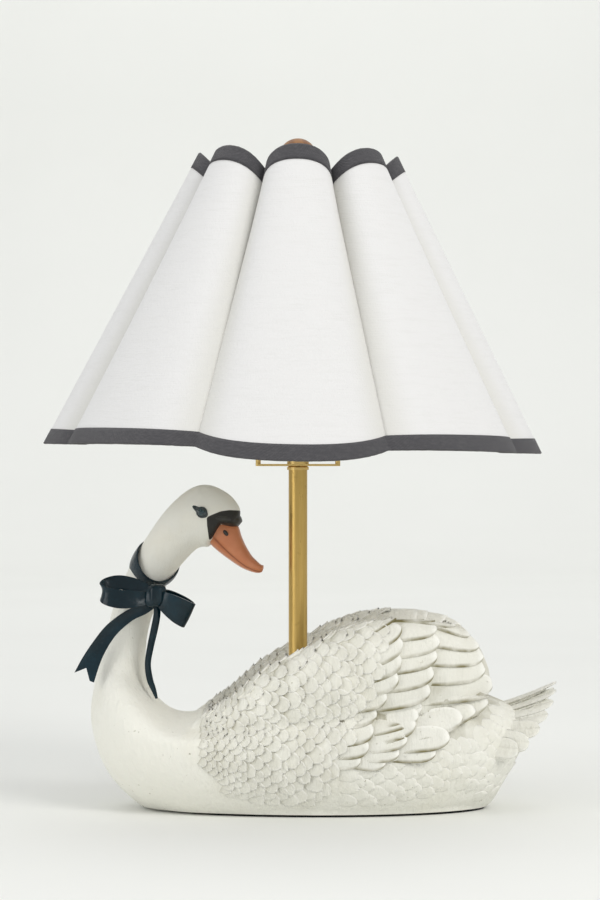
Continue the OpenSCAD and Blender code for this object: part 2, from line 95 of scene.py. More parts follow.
def spline_rows(rows, per_span):
    """Catmull-Rom curve through the rows, with per_span steps between two of them."""
    rows = np.array(rows, float)
    last = len(rows) - 1
    out = []
    for i in range(last):
        a, b, c, d = rows[max(i - 1, 0)], rows[i], rows[i + 1], rows[min(i + 2, last)]
        for k in range(per_span):
            t = k / per_span
            out.append(
                0.5 * (2 * b + (c - a) * t + (2 * a - 5 * b + 4 * c - d) * t * t
                       + (3 * b - a - 3 * c + d) * t**3)
            )
    out.append(rows[-1])
    return np.array(out)


def grid_faces(rows, cols, first=0, closed=False, closed_rows=False):
    """Quads of a grid of rows by cols points, row after row."""
    faces = []
    for i in range(rows if closed_rows else rows - 1):
        for j in range(cols if closed else cols - 1):
            k, m = (j + 1) % cols, (i + 1) % rows
            faces.append(
                (first + i * cols + j, first + i * cols + k, first + m * cols + k, first + m * cols + j)
            )
    return faces


def add_object(name, verts, faces, material=None, smooth=True):
    mesh = bpy.data.meshes.new(name)
    mesh.from_pydata([tuple(v) for v in verts], [], faces)
    mesh.update()
    if smooth:
        mesh.polygons.foreach_set("use_smooth", [True] * len(mesh.polygons))
    obj = bpy.data.objects.new(name, mesh)
    scene.collection.objects.link(obj)
    if material:
        mesh.materials.append(material)
    return obj


def face_outward(obj):
    """Turns all faces of a closed mesh to the outside."""
    bm = bmesh.new()
    bm.from_mesh(obj.data)
    bmesh.ops.recalc_face_normals(bm, faces=bm.faces)
    bm.to_mesh(obj.data)
    bm.free()
    return obj


def float_attribute(obj, name, values):
    attribute = obj.data.attributes.new(name, "FLOAT", "POINT")
    attribute.data.foreach_set("value", np.asarray(values, np.float32))


def apply_modifiers(obj):
    evaluated = obj.evaluated_get(bpy.context.evaluated_depsgraph_get())
    mesh = bpy.data.meshes.new_from_object(evaluated)
    obj.modifiers.clear()
    obj.data = mesh
    return obj


def bevel(obj, width, angle=40):
    modifier = obj.modifiers.new("edge", "BEVEL")
    modifier.width = width
    modifier.segments = 2
    modifier.limit_method = "ANGLE"
    modifier.angle_limit = math.radians(angle)
    return obj


# ------------------------------------------------------- material helpers


class Finish:
    """A node material that is put together step by step."""

    def __init__(self, name, colour, roughness, **sockets):
        self.material = bpy.data.materials.new(name)
        self.material.use_nodes = True
        self.nodes = self.material.node_tree.nodes
        self.links = self.material.node_tree.links
        self.shader = self.nodes["Principled BSDF"]
        self.shader.inputs["Base Color"].default_value = (*colour, 1)
        self.shader.inputs["Roughness"].default_value = roughness
        for socket, value in sockets.items():
            self.shader.inputs[socket.replace("_", " ")].default_value = value
        self.colour = None
        self.base = colour
        self.height = None

    def node(self, kind, **settings):
        made = self.nodes.new(kind)
        for key, value in settings.items():
            setattr(made, key, value)
        return made

    def place(self, scale=(1, 1, 1), turn=(0, 0, 0)):
        """Object coordinates, stretched and turned."""
        coords = self.node("ShaderNodeTexCoord")
        mapping = self.node("ShaderNodeMapping")
        mapping.inputs["Scale"].default_value = scale
        mapping.inputs["Rotation"].default_value = turn
        self.links.new(coords.outputs["Object"], mapping.inputs["Vector"])
        return mapping.outputs["Vector"]

    def noise(self, scale, detail=3, roughness=0.5, where=None):
        made = self.node("ShaderNodeTexNoise")
        made.inputs["Scale"].default_value = scale
        made.inputs["Detail"].default_value = detail
        made.inputs["Roughness"].default_value = roughness
        self.links.new(where or self.place(), made.inputs["Vector"])
        return made.outputs["Fac"]

    def wave(self, scale, where=None, distortion=0.0, direction="X", detail=0.0):
        made = self.node("ShaderNodeTexWave", bands_direction=direction)
        made.inputs["Scale"].default_value = scale
        made.inputs["Distortion"].default_value = distortion
        made.inputs["Detail"].default_value = detail
        self.links.new(where or self.place(), made.inputs["Vector"])
        return made.outputs["Fac"]

    def attribute(self, name):
        return self.node("ShaderNodeAttribute", attribute_name=name).outputs["Fac"]

    def ramp(self, value, low, high, start=0.0, end=1.0):
        """value from low to high becomes start to end."""
        made = self.node("ShaderNodeMapRange")
        for socket, number in zip(("From Min", "From Max", "To Min", "To Max"), (low, high, start, end)):
            made.inputs[socket].default_value = number
        self.links.new(value, made.inputs["Value"])
        return made.outputs["Result"]

    def math(self, operation, a, b):
        made = self.node("ShaderNodeMath", operation=operation)
        for socket, value in zip(made.inputs, (a, b)):
            if isinstance(value, (int, float)):
                socket.default_value = value
            else:
                self.links.new(value, socket)
        return made.outputs[0]

    def tint(self, colour, amount):
        """Mixes a colour in, by amount from 0 to 1."""
        made = self.node("ShaderNodeMix", data_type="RGBA")
        self.links.new(amount, made.inputs["Factor"])
        if self.colour is None:
            made.inputs[6].default_value = (*self.base, 1)
        else:
            self.links.new(self.colour, made.inputs[6])
        made.inputs[7].default_value = (*colour, 1)
        self.colour = made.outputs[2]

    def rough(self, value, low, high):
        """Roughness from low to high, where value is low and high."""
        self.links.new(self.ramp(value, 0.3, 0.7, low, high), self.shader.inputs["Roughness"])

    def bump(self, value, depth, strength=1.0):
        """Adds relief of that depth in metres."""
        made = self.node("ShaderNodeBump")
        made.inputs["Strength"].default_value = strength
        made.inputs["Distance"].default_value = depth
        self.links.new(value, made.inputs["Height"])
        if self.height is not None:
            self.links.new(self.height, made.inputs["Normal"])
        self.height = made.outputs["Normal"]

    def done(self):
        if self.colour is not None:
            self.links.new(self.colour, self.shader.inputs["Base Color"])
        if self.height is not None:
            self.links.new(self.height, self.shader.inputs["Normal"])
        return self.material


CREAM = (0.90, 0.89, 0.81)
IVORY = (0.96, 0.95, 0.89)
OLIVE = (0.20, 0.175, 0.07)
MASK_BLACK = (0.022, 0.021, 0.018)


def cast_stone():
    """Cream painted casting with brown-green antiquing in its hollows, painted shade under its feathers and
    a painted highlight on their rims.
    """
    f = Finish("cast_stone", CREAM, 0.5, Specular_IOR_Level=0.35)
    f.tint((0.86, 0.855, 0.785), f.ramp(f.noise(9, 2), 0.4, 0.7, 0, 0.8))
    f.tint((0.80, 0.77, 0.64), f.ramp(f.noise(26, 4), 0.5, 0.8, 0, 0.4))
    # Ivory along the feather rims: their lighter cream and a painted highlight on the raised rim
    f.tint(IVORY, f.ramp(f.attribute("rim"), 0, 1, 0, 0.9))
    # Olive from the mesh's attribute, in patches: antiquing and painted shade at the feathers' roots and
    # under their lower sides
    patch = f.ramp(f.noise(60, 3), 0.3, 0.62, 0.15, 1)
    f.tint(OLIVE, f.math("MULTIPLY", f.attribute("wash"), patch))
    specks = f.ramp(f.noise(330, 1), 0.72, 0.76, 0, 0.55)
    f.tint(OLIVE, f.math("MULTIPLY", specks, f.ramp(f.noise(18, 1), 0.5, 0.66)))
    f.bump(f.noise(140, 4, 0.6), 0.0005)
    f.bump(f.noise(40, 5, 0.6, f.place((7, 7, 1.2))), 0.0016, 0.9)
    return f.done()


def head_stone():
    """The same paint with the black face mask, whose edge is in the mesh's own attribute."""
    f = Finish("cast_stone_head", CREAM, 0.5, Specular_IOR_Level=0.35)
    f.tint((0.82, 0.81, 0.74), f.ramp(f.noise(14, 2), 0.35, 0.7, 0, 0.9))
    f.tint((0.80, 0.74, 0.60), f.ramp(f.noise(30, 3), 0.5, 0.8, 0, 0.4))
    # Olive antiquing and painted shade, from the mesh's attribute
    f.tint(OLIVE, f.math("MULTIPLY", f.attribute("wash"), 0.6))
    f.tint(MASK_BLACK, f.ramp(f.attribute("mask"), -0.1, 0.1))
    f.bump(f.noise(150, 4, 0.6), 0.0004)
    f.bump(f.noise(26, 5, 0.6, f.place((7, 7, 1.6))), 0.0009, 0.6)
    return f.done()


def mask_paint():
    """Black of the knob and the nostrils, with a dry sheen in patches."""
    f = Finish("mask_paint", MASK_BLACK, 0.32, Specular_IOR_Level=0.5)
    f.tint((0.05, 0.047, 0.036), f.ramp(f.noise(90, 3), 0.45, 0.75, 0, 0.8))
    f.bump(f.noise(220, 3), 0.0003)
    return f.done()


def bill_paint():
    """Orange bill, darker in the line between its halves and round its nail."""
    f = Finish("bill_paint", (0.58, 0.20, 0.085), 0.30, Specular_IOR_Level=0.5)
    f.tint((0.66, 0.27, 0.13), f.ramp(f.noise(70, 3), 0.4, 0.75, 0, 0.8))
    f.tint((0.25, 0.055, 0.02), f.ramp(f.attribute("wash"), 0, 1, 0, 0.85))
    f.bump(f.noise(240, 3), 0.0002)
    return f.done()


def eye_paint():
    """Glossy blue-black eye."""
    f = Finish("eye_paint", (0.006, 0.020, 0.024), 0.18, Specular_IOR_Level=0.6, Coat_Weight=0.6)
    f.tint((0.010, 0.040, 0.050), f.ramp(f.attribute("pupil"), 0, 1, 0, 1))
    f.bump(f.noise(300, 2), 0.0001)
    return f.done()


def navy_lacquer():
    """Dark blue lacquer of the bow, with faint cloudy streaks."""
    f = Finish("navy_lacquer", (0.002, 0.014, 0.021), 0.24, Specular_IOR_Level=0.3, Coat_Weight=0.05,
               Coat_Roughness=0.12)
    f.tint((0.006, 0.026, 0.038), f.ramp(f.noise(60, 4), 0.4, 0.7, 0, 1))
    f.tint((0.003, 0.008, 0.014), f.ramp(f.noise(20, 4, 0.6, f.place((1, 1, 4))), 0.5, 0.75, 0, 0.8))
    f.bump(f.noise(130, 3), 0.0006)
    return f.done()


def brushed_brass(name="brushed_brass", colour=(0.56, 0.375, 0.115), turn=(60, 60, 2)):
    """Satin brass with fine marks along its length and small dark flecks."""
    f = Finish(name, colour, 0.34, Metallic=1.0)
    f.tint((0.66, 0.47, 0.18), f.ramp(f.noise(22, 4, 0.6, f.place(turn)), 0.42, 0.7, 0, 0.35))
    f.tint((0.24, 0.15, 0.04), f.ramp(f.noise(190, 3), 0.66, 0.78, 0, 0.35))
    f.rough(f.noise(30, 3, 0.6, f.place(turn)), 0.27, 0.42)
    f.bump(f.noise(60, 3, 0.6, f.place(turn)), 0.00002)
    return f.done()


def bright_brass():
    return brushed_brass("bright_brass", (0.70, 0.50, 0.19), (20, 20, 20))


def zinc_steel():
    f = Finish("zinc_steel", (0.55, 0.55, 0.54), 0.32, Metallic=1.0)
    f.tint((0.40, 0.40, 0.42), f.ramp(f.noise(90, 3), 0.4, 0.7, 0, 0.7))
    f.rough(f.noise(70, 3), 0.26, 0.44)
    f.bump(f.noise(300, 2), 0.00006)
    return f.done()


def threaded_steel():
    f = Finish("threaded_steel", (0.52, 0.51, 0.49), 0.35, Metallic=1.0)
    f.tint((0.30, 0.29, 0.27), f.ramp(f.wave(330, direction="Z"), 0.5, 1, 0, 0.7))
    f.bump(f.wave(330, direction="Z"), 0.0004)
    return f.done()


def linen():
    """White woven shade fabric: fine threads both ways, with slubs, and painted shade in the valleys by the
    seams.
    """
    f = Finish("linen", (0.76, 0.755, 0.75), 0.85, Sheen_Weight=0.25, Specular_IOR_Level=0.2,
               Sheen_Roughness=0.5)
    # Painted shade of the cloth in the valleys towards the seams
    f.tint((0.64, 0.63, 0.57), f.ramp(f.attribute("valley_shade"), 0, 1, 0, 0.55))
    f.tint((0.70, 0.695, 0.68), f.ramp(f.noise(40, 4, 0.6, f.place((1, 1, 9))), 0.5, 0.8, 0, 0.5))
    warp = f.noise(90, 2, 0.5, f.place((10, 10, 0.7)))
    weft = f.noise(90, 2, 0.5, f.place((0.9, 0.9, 12)))
    f.bump(warp, 0.00022)
    f.bump(weft, 0.00022)
    return f.done()


def charcoal_tape():
    """Twill binding, worn a little lighter along its edge."""
    f = Finish("charcoal_tape", (0.072, 0.070, 0.076), 0.8, Sheen_Weight=0.15, Specular_IOR_Level=0.2)
    f.tint((0.098, 0.095, 0.101), f.ramp(f.noise(240, 3, 0.6, f.place((1, 1, 3))), 0.45, 0.75))
    f.tint((0.11, 0.107, 0.105), f.ramp(f.attribute("edge"), 0, 1, 0, 0.6))
    f.bump(f.wave(420, f.place((1, 1, 1), (0.5, 0.4, 0)), 1.5, "DIAGONAL", detail=2), 0.00025)
    f.bump(f.noise(400, 3), 0.0002)
    return f.done()


def board():
    f = Finish("board", (0.33, 0.22, 0.12), 0.75)
    f.tint((0.22, 0.14, 0.07), f.ramp(f.noise(120, 4, 0.7, f.place((3, 1, 1))), 0.4, 0.7))
    f.bump(f.noise(200, 3), 0.0002)
    return f.done()


def turned_wood():
    """Honey-brown turned ball: grain rings seen from the side, with fine pores."""
    f = Finish("turned_wood", (0.30, 0.135, 0.038), 0.42, Specular_IOR_Level=0.4, Coat_Weight=0.12,
               Coat_Roughness=0.3)
    grain = f.wave(34, f.place((1, 1, 0.16), (0.2, 0.35, 0)), 5.0, detail=3)
    f.tint((0.20, 0.078, 0.020), f.ramp(grain, 0.35, 0.9, 0, 0.9))
    f.tint((0.40, 0.20, 0.065), f.ramp(f.noise(24, 3, 0.5, f.place((2, 2, 0.6))), 0.5, 0.8, 0, 0.8))
    pores = f.ramp(f.noise(300, 2, 0.5, f.place((2, 2, 0.15))), 0.6, 0.72, 0, 0.6)
    f.tint((0.12, 0.04, 0.012), pores)
    f.bump(pores, 0.0001)
    return f.done()


def plain_finish(name, colour, roughness, second, patches, share, grain, depth, sockets):
    """One colour with a second in patches, and fine relief; patches and grain are noise settings."""
    f = Finish(name, colour, roughness, **sockets)
    f.tint(second, f.ramp(f.noise(*patches), 0.4, 0.7, 0, share))
    f.bump(f.noise(*grain), depth)
    return f.done()


# Values of plain_finish, by material
PLAIN_FINISHES = {
    "lining": ((0.78, 0.77, 0.74), 0.75, (0.70, 0.69, 0.65), (50, 3), 0.6, (260, 2), 0.0002,
               {"Specular_IOR_Level": 0.25}),
    "felt": ((0.012, 0.012, 0.013), 0.95, (0.03, 0.03, 0.032), (500, 3), 1.0, (700, 3), 0.0003,
             {"Sheen_Weight": 0.3, "Specular_IOR_Level": 0.1}),
    "phenolic": ((0.018, 0.016, 0.015), 0.35, (0.035, 0.03, 0.027), (150, 3), 1.0, (300, 2), 0.00008, {}),
    "rubber": ((0.02, 0.02, 0.02), 0.6, (0.04, 0.04, 0.04), (200, 3), 1.0, (420, 2), 0.0001, {}),
    "card": ((0.30, 0.24, 0.14), 0.85, (0.22, 0.17, 0.09), (220, 4), 1.0, (320, 3), 0.0001, {}),
    "opal_glass": ((0.86, 0.86, 0.84), 0.12, (0.80, 0.80, 0.78), (20, 2), 0.6, (60, 2), 0.00005,
                   {"Coat_Weight": 0.5, "Specular_IOR_Level": 0.5}),
}
FINISHES = (
    cast_stone, head_stone, mask_paint, bill_paint, eye_paint, navy_lacquer, brushed_brass, bright_brass,
    zinc_steel, threaded_steel, linen, charcoal_tape, board, turned_wood,
)
MATERIALS = {make.__name__: make() for make in FINISHES}
for name, values in PLAIN_FINISHES.items():
    MATERIALS[name] = plain_finish(name, *values)


# --------------------------------------------------------- swan: the core

CORE_VOXEL = 1.3 * MM
FOOT_Z = 2 * MM

# x, height of the middle, up, down, side
TRUNK = [
    (-161.5, 74, 9, 9, 7), (-160, 74, 15, 15, 12), (-154, 73, 30, 33, 28), (-145, 70, 46, 46, 42),
    (-132, 64, 46, 54, 54), (-118, 60, 34, 60, 62), (-100, 58, 18, 64, 69),
    (-80, 56, 18, 68, 74), (-50, 56, 30, 72, 79), (-20, 56, 44, 74, 82),
    (20, 56, 52, 75, 83), (60, 56, 55, 74, 81), (95, 57, 50, 70, 74),
    (125, 58, 40, 64, 61), (148, 60, 28, 58, 45), (162, 62, 20, 38, 31),
    (172, 64, 13, 22, 19), (175, 65, 7, 12, 9),
]

# x, height, travel angle, up, down, side
NECK = [
    (-130, 60, 100, 30, 30, 47), (-138, 92, 97, 22, 22, 33), (-136, 119, 83, 17.5, 17.5, 21.5),
    (-129.5, 150, 72, 15.8, 15.8, 16.5), (-118, 178, 62, 16.2, 16.2, 15.2),
    (-103.5, 201, 52, 17.5, 17.5, 16), (-88, 218, 34, 21, 19, 18.5),
    (-73, 226, 8, 25.6, 23.5, 20.5), (-61, 225, -16, 21, 20, 18.5), (-52.5, 220.5, -28, 15, 15, 14.5),
    (-49.5, 218.5, -30, 9, 10, 9),
]

# x, distance from the middle, height, half thickness, half height
WING = [
    (-82, 50, 60, 6, 8), (-80, 50, 61, 9, 11), (-56, 56, 65, 16, 23), (-26, 57, 75, 21, 38),
    (5, 57, 83, 24, 46), (36, 56, 91, 25, 54), (66, 54, 95, 24, 56),
    (96, 50, 97, 22, 53), (120, 44, 99, 18, 46), (136, 38, 102, 12, 31),
    (145, 34, 101, 5, 14), (147, 33.5, 101, 2, 6),
]
WING_LEAN = math.radians(15)


def around(count):
    """Angles of count points spread evenly round a circle."""
    return [2 * math.pi * j / count for j in range(count)]


def sided(name, side):
    """The name of a piece that both sides of the swan have."""
    return name + ("_near" if side < 0 else "_far")


def cast_rings(stations, sides, per_span, angled):
    """Rings of an egg-shaped section through the stations."""
    rings = []
    for s in spline_rows(stations, per_span):
        x, z = s[0], s[1]
        turn = math.radians(s[2]) if angled else 0.0
        up, down, side = s[3:6] if angled else s[2:5]
        ring = []
        for a in around(sides):
            h = (up if math.sin(a) > 0 else down) * math.sin(a)
            ring.append((x - h * math.sin(turn), -side * math.cos(a), z + h * math.cos(turn)))
        rings.append(ring)
    return np.array(rings) * MM


def wing_rings(side, sides, per_span):
    """Rings of one wing, an oval section that leans out at the top."""
    rings = []
    lean = -side * WING_LEAN
    c, s = math.cos(lean), math.sin(lean)
    for x, off, z, thick, high in spline_rows(WING, per_span):
        ring = []
        for a in around(sides):
            y0, z0 = thick * math.cos(a), high * math.sin(a)
            ring.append((x, side * off + y0 * c - z0 * s, z + y0 * s + z0 * c))
        rings.append(ring)
    return np.array(rings) * MM


def closed_tube(rings, verts, faces):
    """Adds rings to a list of vertices and faces as a closed skin."""
    first = len(verts)
    rows, sides = rings.shape[:2]
    verts.extend(rings.reshape(-1, 3))
    faces.extend(grid_faces(rows, sides, first, closed=True))
    faces.append(tuple(range(first + sides - 1, first - 1, -1)))
    faces.append(tuple(first + (rows - 1) * sides + j for j in range(sides)))


def solid(name, rings, material):
    """An object with a closed skin through the rings."""
    verts, faces = [], []
    closed_tube(rings, verts, faces)
    return face_outward(add_object(name, verts, faces, material))


def vertex_array(obj):
    """The vertices of an object's mesh, one row for each."""
    co = np.zeros(len(obj.data.vertices) * 3)
    obj.data.vertices.foreach_get("co", co)
    return co.reshape(-1, 3)


# Root of the bill seen from the side: the head is drawn in there, so that it does not cover it
BILL_ROOT = [
    (-61.2, 222), (-44, 221), (-38, 214), (-38, 190), (-62, 196), (-70.5, 205), (-69.8, 208.5),
    (-67.7, 209.2),
]

# Low foot under the trunk: centre, half length, half width, top
FOOT = (17, 130, 60, 9)

# The skin above this height is the head and the upper neck
HEAD_Z = 180 * MM

# Crease between the neck and the chest, and how far from it the skin is evened out
CREASE = (-128, 0, 96)
CREASE_REACH = (44, 66)


def distance_inside(points, outline):
    """Signed distance of x,z points to an outline, positive inside."""
    outline = np.array(outline, float)
    best = np.full(len(points), 1e9)
    inside = np.zeros(len(points), bool)
    for a, b in zip(outline, np.roll(outline, -1, axis=0)):
        run = b - a
        t = np.clip(((points - a) @ run) / (run @ run), 0, 1)
        best = np.minimum(best, np.linalg.norm(points - (a + t[:, None] * run), axis=1))
        crosses = (a[1] > points[:, 1]) != (b[1] > points[:, 1])
        with np.errstate(divide="ignore", invalid="ignore"):
            at = a[0] + (points[:, 1] - a[1]) / (b[1] - a[1]) * (b[0] - a[0])
        inside ^= crosses & (points[:, 0] < at)
    return np.where(inside, best, -best)


def shape_core(core):
    """Draws the head in round the bill and evens out the crease between the neck and the chest."""
    co = vertex_array(core)
    inside = distance_inside(co[:, [0, 2]] / MM, BILL_ROOT)
    draw = 1 - 0.5 * smoothstep(-1, 2.5, inside)
    co[:, 1] *= np.where(co[:, 2] > HEAD_Z, draw, 1)
    core.data.vertices.foreach_set("co", co.reshape(-1))
    group = core.vertex_groups.new(name="chest")
    reach = np.linalg.norm(co - np.array(CREASE) * MM, axis=1) / MM
    weights = 1 - smoothstep(*CREASE_REACH, reach)
    for index in np.nonzero(weights > 0.01)[0]:
        group.add([int(index)], float(weights[index]), "REPLACE")
    even = core.modifiers.new("even", "SMOOTH")
    even.factor = 0.5
    even.iterations = 140
    even.vertex_group = "chest"
    apply_modifiers(core)


def swan_core():
    """Trunk, neck, head and both wings blended into one skin."""
    verts, faces = [], []
    closed_tube(cast_rings(TRUNK, 64, 5, False), verts, faces)
    closed_tube(cast_rings(NECK, 48, 6, True), verts, faces)
    for side in (-1, 1):
        closed_tube(wing_rings(side, 40, 5), verts, faces)
    middle, half_length, half_width, top = FOOT
    foot = [
        [(middle + half_length * k * math.cos(a), half_width * k * math.sin(a), z) for a in around(96)]
        for k, z in ((1.0, 0.5), (1.0, top * 0.5), (0.97, top))
    ]
    closed_tube(np.array(foot) * MM, verts, faces)
    core = face_outward(add_object("swan_casting", verts, faces))
    remesh = core.modifiers.new("union", "REMESH")
    remesh.mode = "VOXEL"
    remesh.voxel_size = CORE_VOXEL
    smooth = core.modifiers.new("blend", "SMOOTH")
    smooth.factor = 0.5
    smooth.iterations = 14
    apply_modifiers(core)
    shape_core(core)
    bm = bmesh.new()
    bm.from_mesh(core.data)
    cut = bmesh.ops.bisect_plane(
        bm, geom=bm.verts[:] + bm.edges[:] + bm.faces[:],
        plane_co=(0, 0, FOOT_Z), plane_no=(0, 0, -1), clear_outer=True,
    )
    rim = [e for e in cut["geom_cut"] if isinstance(e, bmesh.types.BMEdge)]
    bmesh.ops.triangle_fill(bm, edges=rim, use_beauty=True)
    for face in bm.faces:
        face.smooth = True
    bm.to_mesh(core.data)
    bm.free()
    return core


core = swan_core()


# ------------------------------------------------------- swan: the feathers

core_skin = BVHTree.FromPolygons(
    [v.co.copy() for v in core.data.vertices],
    [tuple(p.vertices) for p in core.data.polygons],
)


class Plumage:
    """Feathers gathered into one mesh. Every feather is a closed scale that lies on the core."""

    SINK = 0.9 * MM
    SHAFT_WIDTH = 0.5 * MM
    # A draped feather is dropped onto the core from DRAPE_FROM above it, over DRAPE_RANGE. Below
    # BRIDGE_TOP it spans a hollow deeper than BRIDGE_DROP. These four are in millimetres.
    DRAPE_FROM = 45
    DRAPE_RANGE = 70
    BRIDGE_DROP = 1.5
    BRIDGE_TOP = 92

    def __init__(self, name):
        self.name = name
        self.verts, self.faces = [], []
        self.wash, self.rim = [], []

    def feather(self, root, along, length, width, lift, rows=9, cols=8, barbs=0.0,
                pitch=1.7 * MM, sharp=2.2, belly=0.35 * MM, rim=0.35 * MM, shaft=0.0, darkening=1.0, line=0.0,
                root_width=0.62, tilt=0.0, draped=False):
        """A feather from root in the direction along, its free end raised by lift.

        belly, rim, shaft and barbs are heights of its relief, and tilt raises its lower side.
        darkening is the antiquing and painted shade at its root, and line the painted shadow along its lower
        side. A draped feather lies flat over the hollows of the core.
        """
        hit, normal, _, _ = core_skin.find_nearest(root)
        if draped:
            _, tip_normal, _, _ = core_skin.find_nearest(root + along.normalized() * length)
            normal = (normal + tip_normal + Vector((0, math.copysign(2, root.y), 0.4))).normalized()
        along = (along - normal * along.dot(normal)).normalized()
        across = normal.cross(along)
        low_side = -1 if across.z > 0 else 1
        first = len(self.verts)
        count = cols + 1
        for i in range(rows + 1):
            u = i / rows
            body = mix(root_width, 1, math.sin(min(u / 0.55, 1) * math.pi / 2))
            tip = max(0.0, (u - 0.5) / 0.5)
            half = width / 2 * body * max(0.0, 1 - tip**sharp) ** 0.5
            for j in range(count):
                v = 2 * j / cols - 1
                edge = abs(v)
                guess = hit + along * (length * u) + across * (half * v)
                point = None
                if draped:
                    start = guess + normal * self.DRAPE_FROM * MM
                    point, out, _, _ = core_skin.ray_cast(start, -normal, self.DRAPE_RANGE * MM)
                if point is None:
                    point, out, _, _ = core_skin.find_nearest(guess)
                low = guess.z < self.BRIDGE_TOP * MM
                if draped and low and (point - guess).dot(normal) < -self.BRIDGE_DROP * MM:
                    point, out = guess - normal * self.BRIDGE_DROP * MM, normal
                height = mix(-self.SINK, lift, u**0.75) + belly * (1 - v * v) * u
                near_edge = max(smoothstep(0.72, 0.97, edge), smoothstep(0.86, 0.99, u))
                height += rim * near_edge * u
                height -= shaft * math.exp(-(half * v / self.SHAFT_WIDTH) ** 2) * u
                height += tilt * low_side * v * min(1, u * 2.5)
                if barbs:
                    q = (length * u - half * edge * 1.3) / pitch
                    height += barbs * math.cos(2 * math.pi * q) * (1 - near_edge) * min(1, u * 3)
                self.verts.append(point + out * height)
                # Antiquing and painted shade over the face and towards the root, and a painted shadow along
                # the lower side
                root_wash = darkening * (0.2 * (1 - near_edge) + 0.65 * (1 - smoothstep(0.05, 0.55, u)))
                low_edge_shadow = line * smoothstep(0.6, 0.95, low_side * v)
                self.wash.append(float(max(root_wash, low_edge_shadow)))
                # Where the rim is, for the painted highlight of the finish
                self.rim.append(float(near_edge * smoothstep(0.25, 0.6, u)))
        self.faces.extend(grid_faces(rows + 1, count, first))
        self._skirt(first, rows, count, max(darkening, line))

    def _skirt(self, first, rows, count, darkening):
        """Closes the feather down into the core all round; the skirt is darkened with antiquing and painted
        shade.
        """
        loop = [first + j for j in range(count)]
        loop += [first + i * count + count - 1 for i in range(1, rows + 1)]
        loop += [first + rows * count + j for j in range(count - 2, -1, -1)]
        loop += [first + i * count for i in range(rows - 1, 0, -1)]
        low = len(self.verts)
        for index in loop:
            point, out, _, _ = core_skin.find_nearest(self.verts[index])
            self.verts.append(point - out * self.SINK)
            self.wash.append(darkening)
            self.rim.append(0.0)
        n = len(loop)
        for k in range(n):
            m = (k + 1) % n
            self.faces.append((loop[m], loop[k], low + k, low + m))
        self.faces.append(tuple(low + k for k in range(n)))

    def build(self, material):
        obj = add_object(self.name, self.verts, self.faces, material)
        face_outward(obj)
        float_attribute(obj, "wash", self.wash)
        float_attribute(obj, "rim", self.rim)
        return obj


# Middle of the arc that a side section is drawn round: beside the tube, and lower at the rump
SECTION_Y = 38 * MM
SECTION_Z = 78 * MM
RUMP_Y = 8 * MM
RUMP_Z = 60 * MM


def side_section(x, side):
    """Points up one side of the swan at x, from the foot over the ridge of the wing, with arc lengths."""
    points = []
    rump = float(smoothstep(100, 145, x / MM))
    middle = Vector((x, side * mix(SECTION_Y, RUMP_Y, rump), mix(SECTION_Z, RUMP_Z, rump)))
    for degrees in range(-62 - round(20 * rump), 119, 2):
        a = math.radians(degrees)
        out = Vector((0, side * math.cos(a), math.sin(a)))
        start = middle + out * (0.14 if degrees < 60 else 0.10)
        hit = core_skin.ray_cast(start, -out, 0.2)[0]
        if hit is not None and hit.z > FOOT_Z + 2 * MM:
            points.append(hit)
    lengths = [0.0]
    for a, b in zip(points, points[1:]):
        lengths.append(lengths[-1] + (b - a).length)
    return points, lengths


def heading(degrees):
    """Direction to the rear that rises by degrees."""
    return Vector((math.cos(math.radians(degrees)), 0, math.sin(math.radians(degrees))))


def at_length(points, lengths, s):
    """The point at arc length s."""
    for k in range(1, len(points)):
        if lengths[k] >= s:
            t = (s - lengths[k - 1]) / max(lengths[k] - lengths[k - 1], 1e-9)
            return points[k - 1].lerp(points[k], t)
    return points[-1]


def wing_front(z):
    """Where the long feathers take over from the scales, by height."""
    return (31.5 + (z / MM - 58) * 0.33) * MM


def chest_edge(z):
    """Where the scales begin behind the smooth chest."""
    return mix(-60, -78, float(smoothstep(18, 52, z / MM))) * MM


SCALE_COLUMN, SCALE_PITCH, SCALE_LENGTH, SCALE_WIDTH = 6.2, 11.2, 17, 13.2


def scales(side):
    """Rounded scales over the shoulder and the flank, small at the chest and the ridge."""
    group = Plumage(sided("wing_scales", side))
    rng = random.Random(SEED + side)
    x = -80 * MM
    column = 0
    while x < 66 * MM:
        size = mix(0.58, 1.0, float(smoothstep(-80, -15, x / MM)))
        points, lengths = side_section(x, side)
        s = (0.5 * (column % 2) * SCALE_PITCH + 2) * MM * size
        while s < lengths[-1] - 2 * MM:
            p = at_length(points, lengths, s)
            over = float(smoothstep(lengths[-1] - 50 * MM, lengths[-1] - 24 * MM, s))
            k = size * mix(1.0, 0.72, over) * rng.uniform(0.9, 1.12)
            inside = chest_edge(p.z) < x < wing_front(p.z) - 3 * MM
            low_flank = p.z < 52 * MM and x > wing_front(p.z) - 10 * MM
            if inside and not low_flank:
                dip = mix(-34, -14, float(smoothstep(20, 90, p.z / MM))) + rng.uniform(-7, 7)
                dip = mix(dip, 6, over)
                along = heading(dip)
                fade = float(smoothstep(12, 42, p.z / MM))
                group.feather(
                    p + Vector((rng.uniform(-1, 1), 0, 0)) * MM * k, along, SCALE_LENGTH * MM * k,
                    SCALE_WIDTH * MM * k, mix(0.8, 1.8, fade) * MM * k, rim=mix(0.2, 0.75, fade) * MM,
                    sharp=1.8, darkening=mix(0.4, 1.0, fade),
                )
            s += SCALE_PITCH * MM * size * mix(1.0, 0.75, over) * rng.uniform(0.93, 1.07)
        x += SCALE_COLUMN * MM * size
        column += 1
    return group.build(MATERIALS["cast_stone"])


